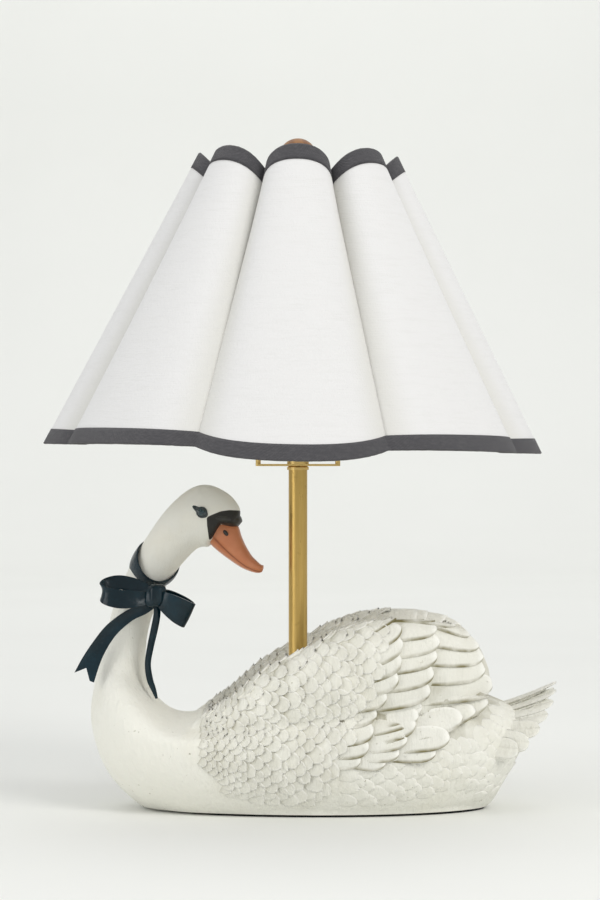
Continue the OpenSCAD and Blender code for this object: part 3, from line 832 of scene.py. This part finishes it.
# Long feathers in three columns: x and z of the tip, rise in degrees, length, width
LONG_FEATHERS = {
    3: [
        (104, 151, -10, 44, 14), (121, 148.5, -16, 50, 14), (134, 142, -11, 54, 15),
        (142.5, 134, -6, 56, 16), (146.5, 123.5, -1, 58, 17), (148, 112, 2, 58, 18), (147, 100, 6, 56, 18),
        (140, 87.5, 10, 54, 18), (131, 78, 8, 46, 16), (122, 75, 9, 48, 18), (113, 62, 3, 46, 17),
        (103, 51.5, -2, 42, 15),
    ],
    2: [
        (96, 151, 0, 42, 14), (104, 144, 4, 44, 15), (106, 135, 8, 46, 17), (104, 125, 10, 46, 17),
        (101.5, 112, 11, 46, 18), (99, 99, 12, 46, 18), (93, 86, 14, 44, 18), (90, 79.5, 13, 44, 16),
        (88, 73.5, 13, 42, 18), (82, 62, 5, 40, 16), (76, 52, -2, 38, 15), (66, 45, -6, 34, 14),
    ],
    1: [
        (72, 152, 24, 32, 13), (77, 145, 27, 36, 15), (78, 135, 26, 38, 17), (77, 123, 22, 38, 18),
        (75, 109, 14, 38, 18), (66.5, 95, 11, 36, 18), (59, 82, 10, 34, 17), (56.5, 69.5, 11, 32, 17),
        (53, 57.5, 5, 32, 16), (47, 47, 1, 30, 14),
    ],
}
COLUMN_NAMES = {1: "short_coverts", 2: "long_coverts", 3: "flight_feathers"}


def surface_at(x, z, side):
    """Point on the outside of the swan seen from the side at x and z, in millimetres."""
    clear = 0.3
    start = Vector((x * MM, side * clear, z * MM))
    hit = core_skin.ray_cast(start, Vector((0, -side, 0)), clear)[0]
    if hit is None:
        hit = core_skin.find_nearest(Vector((x * MM, side * 55 * MM, z * MM)))[0]
    return hit


def long_feathers(side, column):
    """One column of the long feathers of a wing, the lowest laid first."""
    group = Plumage(sided(COLUMN_NAMES[column], side))
    rng = random.Random(SEED * 3 + column + side)
    for x, z, rise, length, width in reversed(LONG_FEATHERS[column]):
        a = math.radians(rise)
        reach = length * 0.97
        root = surface_at(x - reach * math.cos(a), z - reach * math.sin(a), side)
        tip = surface_at(x - 1, z, side)
        group.feather(
            root, tip - root, (tip - root).length + MM, 1.12 * width * MM * rng.uniform(0.97, 1.05),
            1.5 * MM, rows=int(length / 0.6), cols=26, barbs=0.2 * MM, pitch=2.0 * MM, sharp=3.0,
            belly=0.35 * MM, rim=0.14 * MM, shaft=0.12 * MM, darkening=0.3, line=1.0, root_width=0.85,
            tilt=0.75 * MM, draped=True,
        )
    return group.build(MATERIALS["cast_stone"])


FLANK_COLUMN, FLANK_PITCH, FLANK_LENGTH, FLANK_WIDTH = 7.4, 12.5, 24, 13.5
# Place of the cord bushing, which no feather covers
BUSHING = Vector((95 * MM, 60 * MM, 20 * MM))


def flank_feathers(side):
    """Soft low scales under the wing and over the rump."""
    group = Plumage(sided("flank_feathers", side))
    rng = random.Random(SEED * 5 + side)
    x = 22 * MM
    column = 0
    while x < 169 * MM:
        points, lengths = side_section(x, side)
        if len(points) < 4:
            break
        s = (0.5 * (column % 2) * 13 + 1) * MM
        limit = mix(50, 64, float(smoothstep(60, 100, x / MM)))
        limit += 24 * float(smoothstep(118, 150, x / MM))
        while s < lengths[-1]:
            p = at_length(points, lengths, s)
            at_bushing = (p - BUSHING).length < 17 * MM and side > 0
            if p.z < limit * MM and not at_bushing:
                k = rng.uniform(0.92, 1.08)
                dip = mix(-20, 18, float(smoothstep(90, 150, x / MM))) + rng.uniform(-5, 5)
                group.feather(
                    p, heading(dip), FLANK_LENGTH * MM * k, FLANK_WIDTH * MM * k, 0.55 * MM * k,
                    belly=0.7 * MM, rim=0.1 * MM, sharp=2.0, darkening=0.3,
                )
            s += FLANK_PITCH * MM * rng.uniform(0.9, 1.1)
        x += FLANK_COLUMN * MM
        column += 1
    return group.build(MATERIALS["cast_stone"])


feather_pieces = []
for side in (-1, 1):
    feather_pieces.append(scales(side))
    feather_pieces.append(flank_feathers(side))
    for column in (1, 2, 3):
        feather_pieces.append(long_feathers(side, column))


# ------------------------------------------------------------ swan: the tail


def tail_fan():
    """Two layers of blades that rise to the rear and fall away to both sides."""
    verts, faces, wash, rim = [], [], [], []
    rows, cols = 44, 14
    half_count, spread = 5, 1.3

    def blade(u, root, tip, width, thick, rise):
        """One feather from root to tip; u is its place across the fan, -spread to spread."""
        first = len(verts)
        roll = math.radians(48) * u
        across = Vector((0, math.cos(roll), -math.sin(roll)))
        out = Vector((0, math.sin(roll), math.cos(roll)))
        for face in (1, -1):
            for i in range(rows + 1):
                t = i / rows
                centre = root.lerp(tip, t) + out * (rise * t * (1 - t) * -4)
                end = max(0.0, (t - 0.72) / 0.28)
                half = width / 2 * (0.7 + 0.3 * math.sin(min(1, t / 0.6) * math.pi / 2))
                half *= max(0.0, 1 - end**2.6) ** 0.5
                for j in range(cols + 1):
                    v = 2 * j / cols - 1
                    body = thick / 2 * (1 - v * v) ** 0.5 * (1 - 0.6 * t)
                    ridge = 0.16 * MM * math.cos(2 * math.pi * (t * 52 - abs(v) * 3.2) / 1.7)
                    groove = 0.5 * MM * math.exp(-((half * v) / (0.55 * MM)) ** 2)
                    lift = face * body + (ridge * (1 - v * v) - groove if face > 0 else 0)
                    verts.append(centre + across * (half * v) + out * lift)
                    # Antiquing and painted shade at the root, along the edges and in the middle groove; the
                    # rim gets the painted highlight of the finish
                    edge = float(smoothstep(0.7, 1.0, abs(v)))
                    wash.append(0.5 * float(1 - smoothstep(0, 0.3, t)) + 0.35 * edge * (1 - t)
                                + 0.3 * groove / MM)
                    rim.append(edge * t)
        count = (rows + 1) * (cols + 1)
        faces.extend(grid_faces(rows + 1, cols + 1, first))
        faces.extend(tuple(reversed(f)) for f in grid_faces(rows + 1, cols + 1, first + count))
        for i in range(rows):
            for j in (0, cols):
                a, b = first + i * (cols + 1) + j, first + (i + 1) * (cols + 1) + j
                faces.append((a, b, b + count, a + count) if j else (b, a, a + count, b + count))
        for j in range(cols):
            a, b = first + j, first + j + 1
            faces.append((a, b, b + count, a + count))

    for reach, low in ((0, 0), (-8, -5)):
        for i in range(-half_count, half_count + 1):
            u = i / half_count * spread
            fall = abs(u) ** 1.25
            root = Vector((134 + reach, 21 * u, 74 - 10 * fall + low)) * MM
            tip = Vector((201.5 - 15 * u * u + reach, 37 * u, 97.5 - 30 * fall + low)) * MM
            blade(u, root, tip, 18 * MM, 4.6 * MM, 2.5 * MM)
    obj = add_object("tail_feathers", verts, faces, MATERIALS["cast_stone"])
    face_outward(obj)
    float_attribute(obj, "wash", np.clip(wash, 0, 1))
    float_attribute(obj, "rim", np.clip(rim, 0, 1))
    return obj


feather_pieces.append(tail_fan())


# ------------------------------------------------------------ swan: the head

# Face mask seen from the side, x and z in millimetres, from the eye along the top
MASK = [
    (-70.4, 226.6), (-66.5, 228.4), (-59.5, 231.2), (-53, 232), (-46, 231.5), (-38, 229),
    (-38, 214), (-55, 219.5), (-59.6, 221.2), (-62.5, 216), (-67.7, 208.6), (-68.9, 209.2),
    (-69.4, 214), (-70.2, 220.5),
]


# Heights on the neck: where the head's paint begins, where the antiquing and painted shade end, lowest of
# the mask
PAINT_SEAM, WASH_AND_SHADE_TOP, MASK_LOW = 172 * MM, 175 * MM, 200 * MM
NO_MASK = -50


def paint_core():
    """Gives the core its mask edge, its antiquing and painted shade, and its two materials."""
    co = vertex_array(core)
    mask = distance_inside(co[:, [0, 2]] / MM, MASK)
    mask[co[:, 2] < MASK_LOW] = NO_MASK
    float_attribute(core, "mask", mask)
    # Antiquing and painted shade in the hollow of the back and, fainter, under the wings
    back = smoothstep(45, 30, np.abs(co[:, 1]) / MM) * smoothstep(-70, -20, co[:, 0] / MM)
    hollow = 0.75 * back * smoothstep(60, 100, co[:, 2] / MM)
    under_wing = smoothstep(30, 60, co[:, 2] / MM) * smoothstep(-60, -20, co[:, 0] / MM) * 0.35
    float_attribute(core, "wash", np.where(co[:, 2] > WASH_AND_SHADE_TOP, 0, np.maximum(hollow, under_wing)))
    float_attribute(core, "rim", np.zeros(len(co)))
    core.data.materials.append(MATERIALS["cast_stone"])
    core.data.materials.append(MATERIALS["head_stone"])
    for polygon in core.data.polygons:
        polygon.use_smooth = True
        polygon.material_index = 1 if polygon.center.z > PAINT_SEAM else 0


paint_core()

# x, height, travel angle, up, down, side
BILL = [
    (-68, 220.2, -50, 8, 9, 8), (-64, 218.2, -50, 12.5, 11.5, 11.2), (-57.5, 211.5, -50, 13.6, 12.2, 12),
    (-51.5, 203.9, -49, 10.4, 10.2, 11), (-46, 197.5, -48, 8.0, 8.2, 10.4),
    (-39.8, 191.6, -41, 6.0, 6.4, 9.6), (-34, 187.7, -34, 4.6, 4.8, 8.0), (-29.6, 185.6, -26, 3.2, 3.4, 5.6),
    (-27.4, 184.8, -23, 1.4, 1.6, 2.6),
]
# Angles round the bill where the line between its halves runs, in degrees
BILL_LINE = (214, 326)


def bell(x, width):
    """1 at zero, falling off to both sides over width."""
    return math.exp(-((x / width) ** 2))


def make_bill():
    """Bill with the line between its halves and the nail at the tip."""
    sides, per_span = 72, 10
    rings = cast_rings(BILL, sides, per_span, True)
    rows = len(rings)
    wash = np.zeros((rows, sides))
    centres = rings.mean(axis=1)
    for i in range(rows):
        t = i / (rows - 1)
        for j, a in enumerate(around(sides)):
            out = rings[i, j] - centres[i]
            out = out / max(np.linalg.norm(out), 1e-9)
            off_line = min(abs(math.degrees(a) - line) for line in BILL_LINE)
            slit = bell(off_line, 5.5) * float(smoothstep(0.16, 0.24, t) * smoothstep(0.99, 0.9, t))
            rings[i, j] -= out * 0.9 * MM * slit
            nail = bell(t - 0.93, 0.05) * max(0.0, math.sin(a)) ** 2
            rings[i, j] += out * 1.3 * MM * nail
            wash[i, j] = max(slit, 0.35 * bell(t - 0.86, 0.012) * max(0, math.sin(a)))
    obj = solid("bill", rings, MATERIALS["bill_paint"])
    float_attribute(obj, "wash", wash.reshape(-1))
    return obj


bill = make_bill()


def ellipsoid(name, centre, size, turn, material, rings, sides):
    """Rounded bead; turn is about Y, in degrees."""
    a = math.radians(turn)
    made = []
    for i in range(1, rings):
        p = math.pi * i / rings
        ring = []
        for q in around(sides):
            x, y, z = (size[0] * math.cos(p), size[1] * math.sin(p) * math.cos(q),
                       size[2] * math.sin(p) * math.sin(q))
            ring.append((centre[0] + x * math.cos(a) + z * math.sin(a), centre[1] + y,
                         centre[2] - x * math.sin(a) + z * math.cos(a)))
        made.append(ring)
    return solid(name, np.array(made) * MM, material)


def make_knob():
    """Black swelling over the root of the bill, which runs back into the mask."""
    stations = [
        (-66, 226.3, -8, 3.5, 4.5, 18.8), (-61.5, 225.8, -10, 5.4, 5.6, 19.3),
        (-56, 225, -12, 7.0, 6.2, 17.6), (-50.8, 223.4, -20, 7.0, 6.0, 13.6),
        (-47.2, 221.8, -32, 5.4, 4.6, 9.6), (-45, 220.7, -40, 2.8, 2.4, 5),
    ]
    return solid("bill_knob", cast_rings(stations, 48, 6, True), MATERIALS["mask_paint"])


knob = make_knob()


def make_eye(side):
    """Teardrop eye that stands proud of the head, its point to the rear."""
    verts, faces, pupil = [], [], []
    rows, cols = 26, 48
    centre_x, centre_z = -74.2, 230.3
    dome_r, groove_r = 4.6, 3.1
    for i in range(rows + 1):
        r = i / rows
        for a in around(cols):
            radius = 4.4 + 4.7 * bell(a - math.radians(146), 0.30)
            radius += 1.0 * bell(a - math.radians(325), 0.5)
            x = centre_x + radius * r * math.cos(a)
            z = centre_z + radius * r * math.sin(a)
            hit = surface_at(x, z, side)
            _, out, _, _ = core_skin.find_nearest(hit)
            dome = 1.7 * (1 - min(1, (radius * r / dome_r)) ** 2) ** 0.5 if radius * r < dome_r else 0
            crest = 0.5 * bell(radius * r - groove_r, 0.5)
            height = (0.35 + dome - crest) * (1 if i < rows else 0) - (0.8 if i == rows else 0)
            verts.append(hit + out * height * MM)
            pupil.append(float(smoothstep(3.0, 2.0, radius * r)) * (0.6 + 0.4 * math.sin(a * 3 + 1)))
    faces = grid_faces(rows + 1, cols, 0, closed=True)
    faces.append(tuple(rows * cols + j for j in range(cols)))
    obj = add_object(sided("eye", side), verts, faces, MATERIALS["eye_paint"])
    float_attribute(obj, "pupil", pupil)
    bm = bmesh.new()
    bm.from_mesh(obj.data)
    bmesh.ops.remove_doubles(bm, verts=bm.verts, dist=1e-7)
    bmesh.ops.recalc_face_normals(bm, faces=bm.faces)
    bm.to_mesh(obj.data)
    bm.free()
    return obj


def make_nostril(side):
    centre, size = (-56, side * 11.8, 214.2), (2.7, 1.5, 1.6)
    return ellipsoid(sided("nostril", side), centre, size, 52, MATERIALS["mask_paint"], 14, 20)


head_pieces = [bill, knob]
for side in (-1, 1):
    head_pieces.append(make_eye(side))
    head_pieces.append(make_nostril(side))


# -------------------------------------------------------------- the ribbon


def ribbon(name, centres, across, widths, thick, per_span, cols, curl, closed=False):
    """Band of lacquered ribbon through centres, with its width direction and width at each."""
    if closed:
        centres, across, widths = (list(r) + [r[0]] for r in (centres, across, widths))
    rows = spline_rows(np.hstack([centres, across, np.array(widths)[:, None]]), per_span)
    if closed:
        rows = rows[:-1]
    count = len(rows)
    verts = []
    for i, row in enumerate(rows):
        a = rows[(i - 1) % count] if closed else rows[max(i - 1, 0)]
        b = rows[(i + 1) % count] if closed else rows[min(i + 1, count - 1)]
        run = Vector(b[:3] - a[:3]).normalized()
        side = Vector(row[3:6])
        side = (side - run * side.dot(run)).normalized()
        out = run.cross(side)
        for j in range(cols + 1):
            v = 2 * j / cols - 1
            point = Vector(row[:3]) + side * (v * row[6] / 2) + out * (curl * (1 - v * v))
            verts.append(point * MM)
    faces = grid_faces(count, cols + 1, 0, closed_rows=closed)
    obj = add_object(name, verts, faces, MATERIALS["navy_lacquer"])
    solid = obj.modifiers.new("thickness", "SOLIDIFY")
    solid.thickness = thick * MM
    solid.offset = 0
    bevel(obj, 0.35 * MM, 50)
    obj.modifiers.new("round", "SUBSURF").levels = 1
    obj.modifiers["round"].render_levels = 1
    return apply_modifiers(obj)


def make_collar():
    """Ring of ribbon round the neck, wide where it climbs the nape."""
    centre = Vector((-109, 0, 188))
    pitch, roll = math.radians(33), math.radians(42)
    turn = Matrix.Rotation(pitch, 3, "Y") @ Matrix.Rotation(roll, 3, "X")
    steps = 20
    centres, across, widths = [], [], []
    for i, a in enumerate(around(steps)):
        out = turn @ Vector((math.cos(a), math.sin(a), 0))
        hit = core_skin.ray_cast(centre * MM, out, 0.05)[0]
        centres.append(hit / MM + out * 0.9)
        across.append(turn @ Vector((0, 0, 1)))
        nape = bell(i - steps / 2 - 1.4, 3.2)
        throat = bell(min(i, steps - i), 2.4)
        widths.append(7.5 + 8.5 * nape - 0.5 * throat)
    return ribbon("bow_collar", centres, across, widths, 1.4, 5, 8, 0.6, closed=True)


def make_bow():
    """Collar, two loops and two tails."""
    pieces = [make_collar()]
    pieces.append(ribbon(
        "bow_left_loop",
        [(-112, -31, 165.5), (-122, -36, 164.5), (-136, -38.5, 164.5), (-147, -36.5, 167),
         (-150.2, -31, 170.5), (-147, -26.5, 174.5), (-137, -24.5, 176.5), (-123, -26, 173.5),
         (-113, -29, 169)],
        [(0, 0.2, 1)] * 9, [8, 12.5, 14.5, 13.5, 11.5, 11, 11, 10.5, 8], 1.5, 7, 10, 0.5,
    ))
    slant = (0.42, -0.18, 0.9)
    pieces.append(ribbon(
        "bow_right_loop",
        [(-107, -32, 166), (-101, -35.5, 161.8), (-92.5, -37.5, 156.5), (-85.8, -35.5, 152.6),
         (-83.6, -31, 151.6), (-86, -26.5, 155.2), (-92.5, -25.5, 160.5), (-101, -27.5, 165.5),
         (-107.5, -30, 167.5)],
        [slant] * 9, [9.5, 15.5, 19.5, 20.5, 19.5, 17.5, 14.5, 11.5, 8], 1.5, 7, 10, 0.5,
    ))
    pieces.append(ribbon(
        "bow_left_tail",
        [(-110, -30.5, 162), (-118, -30.5, 156.5), (-130, -29.5, 151), (-143.5, -28.5, 140),
         (-153, -28.5, 127), (-159.5, -29.5, 115), (-164.5, -31, 103)],
        [(-0.3, 0.1, 1), (-0.45, 0, 0.9), (-0.55, 0, 0.83), (-0.65, 0, 0.75), (-0.8, 0, 0.6),
         (-0.88, 0, 0.48), (-0.92, 0, 0.4)],
        [7, 8, 9, 10.5, 12, 14.5, 17], 1.5, 7, 12, 0.8,
    ))
    pieces.append(ribbon(
        "bow_right_tail",
        [(-108.5, -30.5, 160), (-108.5, -30.5, 152), (-110.5, -29.5, 141), (-113.5, -27, 128),
         (-115.8, -25.5, 114), (-114.4, -24.5, 102), (-111.5, -24, 94), (-109, -24, 87)],
        [(1, 0.5, 0)] * 8, [5, 5.4, 5.6, 5.2, 4.6, 4.8, 3.6, 0.8], 1.5, 7, 8, 0.5,
    ))
    notch_tail(pieces[-2])
    return pieces


def notch_tail(tail):
    """Cuts the swallow tail into the free end of the left tail."""
    outline = [(-171.8, 107.5), (-162.6, 111), (-158.4, 95.5), (-164, 86), (-182, 92), (-181, 106)]
    cutter = add_object(
        "cutter", [(x * MM, y * MM, z * MM) for y in (-60, -10) for x, z in outline],
        [tuple(range(6)), tuple(range(11, 5, -1))]
        + [(k, (k + 1) % 6, (k + 1) % 6 + 6, k + 6) for k in range(6)], smooth=False,
    )
    face_outward(cutter)
    cut = tail.modifiers.new("notch", "BOOLEAN")
    cut.operation = "DIFFERENCE"
    cut.solver = "EXACT"
    cut.object = cutter
    apply_modifiers(tail)
    bpy.data.objects.remove(cutter)


def make_knot():
    """Pinched wrap in the middle of the bow, with creases across it."""
    rows, sides = 26, 40
    rings = []
    for i in range(rows + 1):
        t = i / rows * 2 - 1
        ring = []
        for a in around(sides):
            crease = 0.55 * math.cos(a * 7 + t * 2.2) * (1 - t * t)
            r = (0.35 + 0.65 * (1 - t**4)) ** 0.5
            x = (7.6 * r + crease) * math.cos(a)
            y = (6.6 * r + crease) * math.sin(a)
            ring.append((-109.6 + x + 1.6 * t, -31.5 + y, 166.6 + 8.6 * t))
        rings.append(ring)
    return solid("bow_wrap", np.array(rings) * MM, MATERIALS["navy_lacquer"])


bow_pieces = make_bow()
bow_pieces.append(make_knot())


# --------------------------------------------------------------- the shade

SCALLOPS = 8
SEAM_ANGLE = 180 / SCALLOPS
HEM_R = 193.0
TOP_R = 77.5
HEM_Z = 280.0
TOP_Z = 508.0
SHADE_LEAN = math.radians(1.15)
HUB_Z = 488.25
LOBE_STEPS = 26
TOP_SLOPE = 0.95
# How far the hem's middle hangs below HEM_Z, scallop by scallop from the front
HEM_DROPS = [9, -1, 0, -1, 9, -1, 0, -1]
TAPE_WIDTH = 12.5
FABRIC_THICK = 1.0


def polar(r, degrees):
    a = math.radians(degrees)
    return np.array([r * math.cos(a), r * math.sin(a)])


def scallop_curve(r, run, shoulder, shoulder_angle, seam):
    """Bezier points of half a scallop of radius r, from its middle to the seam; shares are of r."""
    return [
        np.array([r, 0]), np.array([r, run * r]), polar(shoulder * r, shoulder_angle),
        polar(seam * r, SEAM_ANGLE),
    ]


HEM_CURVE = scallop_curve(HEM_R, 0.2, 0.995, 17, 0.938)
TOP_CURVE = scallop_curve(TOP_R, 0.168, 0.985, 19, 0.81)


def half_lobe(curve):
    points = []
    for i in range(LOBE_STEPS + 1):
        t = i / LOBE_STEPS
        points.append(
            (1 - t) ** 3 * curve[0] + 3 * (1 - t) ** 2 * t * curve[1]
            + 3 * (1 - t) * t * t * curve[2] + t**3 * curve[3]
        )
    return np.array(points)


def whole_lobe(curve):
    half = half_lobe(curve)
    return np.vstack([half[:0:-1] * [1, -1], half])


TOP_LOBE, HEM_LOBE = whole_lobe(TOP_CURVE), whole_lobe(HEM_CURVE)
LOBE_POINTS = len(TOP_LOBE) - 1


def shade_loop(level):
    """Closed loop round the shade; level 0 is the upper edge and 1 is the hem."""
    points = []
    lean_c, lean_s = math.cos(SHADE_LEAN), math.sin(SHADE_LEAN)
    for i in range(SCALLOPS):
        turn = -math.pi / 2 + i * 2 * math.pi / SCALLOPS
        c, s = math.cos(turn), math.sin(turn)
        for j in range(LOBE_POINTS):
            u, v = mix(TOP_LOBE[j], HEM_LOBE[j], level)
            top = TOP_Z - TOP_SLOPE * (TOP_R - TOP_LOBE[j][0])
            fall = max(0.0, (HEM_LOBE[j][0] - HEM_CURVE[3][0]) / (HEM_R - HEM_CURVE[3][0]))
            low = HEM_Z - HEM_DROPS[i] * fall
            x, y, z = u * c - v * s, u * s + v * c, mix(top, low, level) - HUB_Z
            points.append((x * lean_c + z * lean_s, y, HUB_Z + z * lean_c - x * lean_s))
    return np.array(points)


def inset(loop, d):
    """The loop moved in by d, or out where d is negative."""
    run = np.roll(loop, -1, axis=0) - np.roll(loop, 1, axis=0)
    out = np.stack([run[:, 1], -run[:, 0]], axis=1)
    out /= np.linalg.norm(out, axis=1)[:, None]
    moved = loop.copy()
    moved[:, :2] -= d * out
    return moved


SLANT = math.hypot(HEM_R - TOP_R, TOP_Z - HEM_Z)
TAPE_SHARE = TAPE_WIDTH / SLANT
# How near the seam each point of a scallop lies, for the painted shade of the cloth in the valley
LOBE_DEPTH = smoothstep(14, 26, np.abs(np.arange(LOBE_POINTS + 1) - LOBE_POINTS / 2))


def shade_panels():
    """One lined cloth panel for each scallop, seam to seam."""
    pieces = []
    rows = 40
    levels = [k / rows for k in range(rows + 1)]
    total = SCALLOPS * LOBE_POINTS
    outer = np.array([shade_loop(l) for l in levels]) * MM
    inner = np.array([inset(shade_loop(l), FABRIC_THICK) for l in levels]) * MM
    for i in range(SCALLOPS):
        picks = [(i * LOBE_POINTS + j) % total for j in range(LOBE_POINTS + 1)]
        section = np.concatenate([outer[:, picks], inner[::-1, picks]])
        cols, ring = len(picks), len(section)
        verts = section.reshape(-1, 3)
        faces = grid_faces(ring, cols, 0, closed_rows=True)
        faces.append(tuple(r * cols for r in range(ring)))
        faces.append(tuple(r * cols + cols - 1 for r in range(ring - 1, -1, -1)))
        obj = add_object(f"shade_cloth_{i + 1}", verts, faces, MATERIALS["linen"])
        face_outward(obj)
        float_attribute(obj, "valley_shade", np.tile(LOBE_DEPTH, ring))
        obj.data.materials.append(MATERIALS["lining"])
        inside = [0] * (rows * (cols - 1)) + [1] * ((rows + 2) * (cols - 1)) + [0, 0]
        obj.data.polygons.foreach_set("material_index", inside)
        node = f"shade_panel_{i + 1}"
        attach(obj, "shade")
        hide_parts(node)
        pieces.append(obj)
    return pieces


shade_pieces = shade_panels()


# Height of the tape's two faces over the cloth, outside and inside, and of its fold over the edge
TAPE_OUTSIDE, TAPE_INSIDE, TAPE_GAP, TAPE_FOLD = 0.55, 0.45, 0.08, 0.7


def edge_tape(name, node, inner_share, turn_down):
    """Binding folded over a whole edge: outside, over the edge, and inside."""
    edge = 1.0 if turn_down else 0.0
    sign = -1 if turn_down else 1
    outside = [edge + sign * TAPE_SHARE * t for t in (1, 0.75, 0.5, 0.25, 0.06, 0)]
    inside = [edge + sign * TAPE_SHARE * inner_share * t for t in (0, 0.06, 0.35, 0.7, 1)]
    total = SCALLOPS * LOBE_POINTS
    fray = np.random.default_rng(SEED).normal(0, 0.16, total)
    lip = shade_loop(edge)
    under = inset(lip, FABRIC_THICK / 2)
    under[:, 2] -= -sign * TAPE_FOLD + fray * 0.4
    # Rings round the tape's own section, each with its share of wear
    section = [(inset(shade_loop(l), -TAPE_OUTSIDE), 0.25 if l == edge else 0.0) for l in outside]
    section.append((under, 1.0))
    section += [(inset(shade_loop(l), FABRIC_THICK + TAPE_INSIDE), 0.45) for l in inside]
    section += [(inset(shade_loop(l), FABRIC_THICK + TAPE_GAP), 0.2) for l in reversed(inside)]
    section += [(inset(shade_loop(l), -TAPE_GAP), 0.0) for l in reversed(outside)]
    rings, marks = zip(*section)
    verts = np.concatenate(rings) * MM
    faces = grid_faces(len(rings), total, 0, closed=True, closed_rows=True)
    obj = add_object(name, verts, faces, MATERIALS["charcoal_tape"])
    face_outward(obj)
    float_attribute(obj, "edge", np.repeat(marks, total))
    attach(obj, "shade")
    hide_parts(node)


edge_tape("hem_binding", "hem_tape", 0.8, True)
edge_tape("top_binding", "top_tape", 0.6, False)


# -------------------------------------------------------------- the finial


def finial():
    """Turned wooden ball with a small flat foot."""
    low, high = (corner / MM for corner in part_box("finial_ball"))
    r = (high.x - low.x) / 2
    centre = high.z - r
    foot = low.z
    rows = 60
    start, crown = math.asin((foot - centre) / r), math.radians(89.3)
    bore_r, bore_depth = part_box("finial_insert")[1].x / MM + 0.05, 9
    profile = [(bore_r, foot + bore_depth), (bore_r, foot)]
    for i in range(rows):
        a = start + (crown - start) * i / (rows - 1)
        groove = 0.12 * math.cos(a * 46) * math.exp(-((a / 1.4) ** 2) * 4)
        profile.append((r * math.cos(a) - 0.05 * groove, centre + r * math.sin(a)))
    rings = [[(p * math.cos(a), p * math.sin(a), z) for a in around(96)] for p, z in profile]
    obj = solid("finial_turning", np.array(rings) * MM, MATERIALS["turned_wood"])
    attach(obj, "finial")
    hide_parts("finial_ball")


finial()


# ------------------------------------------------------- finishes and rides

for piece in [core, *feather_pieces, *head_pieces]:
    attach(piece, "lamp_base")
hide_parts("swan_body")
BOW_NODES = {
    "bow_collar": "ribbon_collar", "bow_left_loop": "bow_loop_left", "bow_right_loop": "bow_loop_right",
    "bow_left_tail": "ribbon_tail_left", "bow_right_tail": "ribbon_tail_right", "bow_wrap": "bow_knot",
}
for piece in bow_pieces:
    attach(piece, "lamp_base")
    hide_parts(BOW_NODES[piece.name])

# Material and width of the rounded edge in millimetres, and the CAD nodes that have them
NODE_FINISHES = {
    ("board", 0.3): ["base_plate"],
    ("felt", 0.3): ["felt_pad"],
    ("rubber", 0.3): ["cord_bushing"],
    ("threaded_steel", 0.2): ["threaded_rod"],
    ("brushed_brass", 0.25): ["brass_tube"],
    ("card", 0): ["socket_liner"],
    ("phenolic", 0.3): ["socket_core", "switch_knob"],
    ("opal_glass", 0): ["bulb_glass"],
    ("zinc_steel", 0.3): ["rod_nut"],
    ("zinc_steel", 0.2): ["rod_washer", "screw_shell", "bulb_base"],
    ("zinc_steel", 0): ["bulb_contact", "top_wire", "hem_wire", "shade_ribs"],
    ("bright_brass", 0.4): ["harp_top_plate"],
    ("bright_brass", 0.35): ["harp_saddle"],
    ("bright_brass", 0.3): ["check_ring", "harp_stud", "harp_sleeve_left", "harp_sleeve_right",
                            "socket_cap", "switch_shaft", "spider_hub"],
    ("bright_brass", 0.25): ["socket_shell"],
    ("bright_brass", 0.2): ["terminal_screws", "finial_insert"],
    ("bright_brass", 0.1): ["centre_contact"],
    ("bright_brass", 0): ["harp_wire", "spider_arms"],
}
for (material, edge), names in NODE_FINISHES.items():
    for name in names:
        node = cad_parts[name]
        node.data.materials.clear()
        node.data.materials.append(MATERIALS[material])
        if edge:
            bevel(node, edge * MM)


# --------------------------------------------------------- floor and light


def make_stage():
    """Pale sweep: a floor that curves up into the wall behind."""
    front, bend_start, bend_r, wall_top, half_width = -5.0, 3.6, 1.2, 5.0, 7
    steps = 12
    profile = [(front, 0.0), (bend_start, 0.0)]
    for i in range(1, steps + 1):
        a = math.pi / 2 * i / steps
        profile.append((bend_start + bend_r * math.sin(a), bend_r - bend_r * math.cos(a)))
    profile.append((bend_start + bend_r, wall_top))
    verts = [(x, y, z) for y, z in profile for x in (-half_width, half_width)]
    paper = Finish("paper", (0.86, 0.865, 0.835), 0.85, Specular_IOR_Level=0.15)
    paper.tint((0.85, 0.855, 0.825), paper.ramp(paper.noise(3, 2), 0.4, 0.7))
    sweep = add_object("sweep", verts, grid_faces(len(profile), 2), paper.done())


def area_light(name, place, aim, size, power, colour=(1, 1, 1)):
    data = bpy.data.lights.new(name, "AREA")
    data.shape = "RECTANGLE"
    data.size, data.size_y = size
    data.energy = power
    data.color = colour
    light = bpy.data.objects.new(name, data)
    light.location = place
    light.rotation_euler = (Vector(aim) - Vector(place)).to_track_quat("-Z", "Y").to_euler()
    scene.collection.objects.link(light)


def make_light():
    """Soft daylight from all round, a warmer key from the right and a fill from the left."""
    world = bpy.data.worlds.new("studio")
    world.use_nodes = True
    background = world.node_tree.nodes["Background"]
    background.inputs["Color"].default_value = (0.98, 0.99, 1.0, 1)
    background.inputs["Strength"].default_value = 0.6
    scene.world = world
    lamp_middle = (0, 0, 0.25)
    area_light("key", (1.6, -1.8, 1.7), lamp_middle, (1.2, 1.2), 31, (1.0, 0.985, 0.96))
    area_light("fill", (-1.9, -1.2, 1.0), lamp_middle, (1.0, 1.8), 13)
    area_light("top", (0.0, 0.3, 2.4), (0, 0.2, 0), (2.0, 2.0), 8)
    area_light("wall", (0.0, 2.4, 3.4), (0, 4.8, 0.6), (4.0, 0.8), 44)


make_stage()
make_light()
scene.view_settings.view_transform = "Standard"
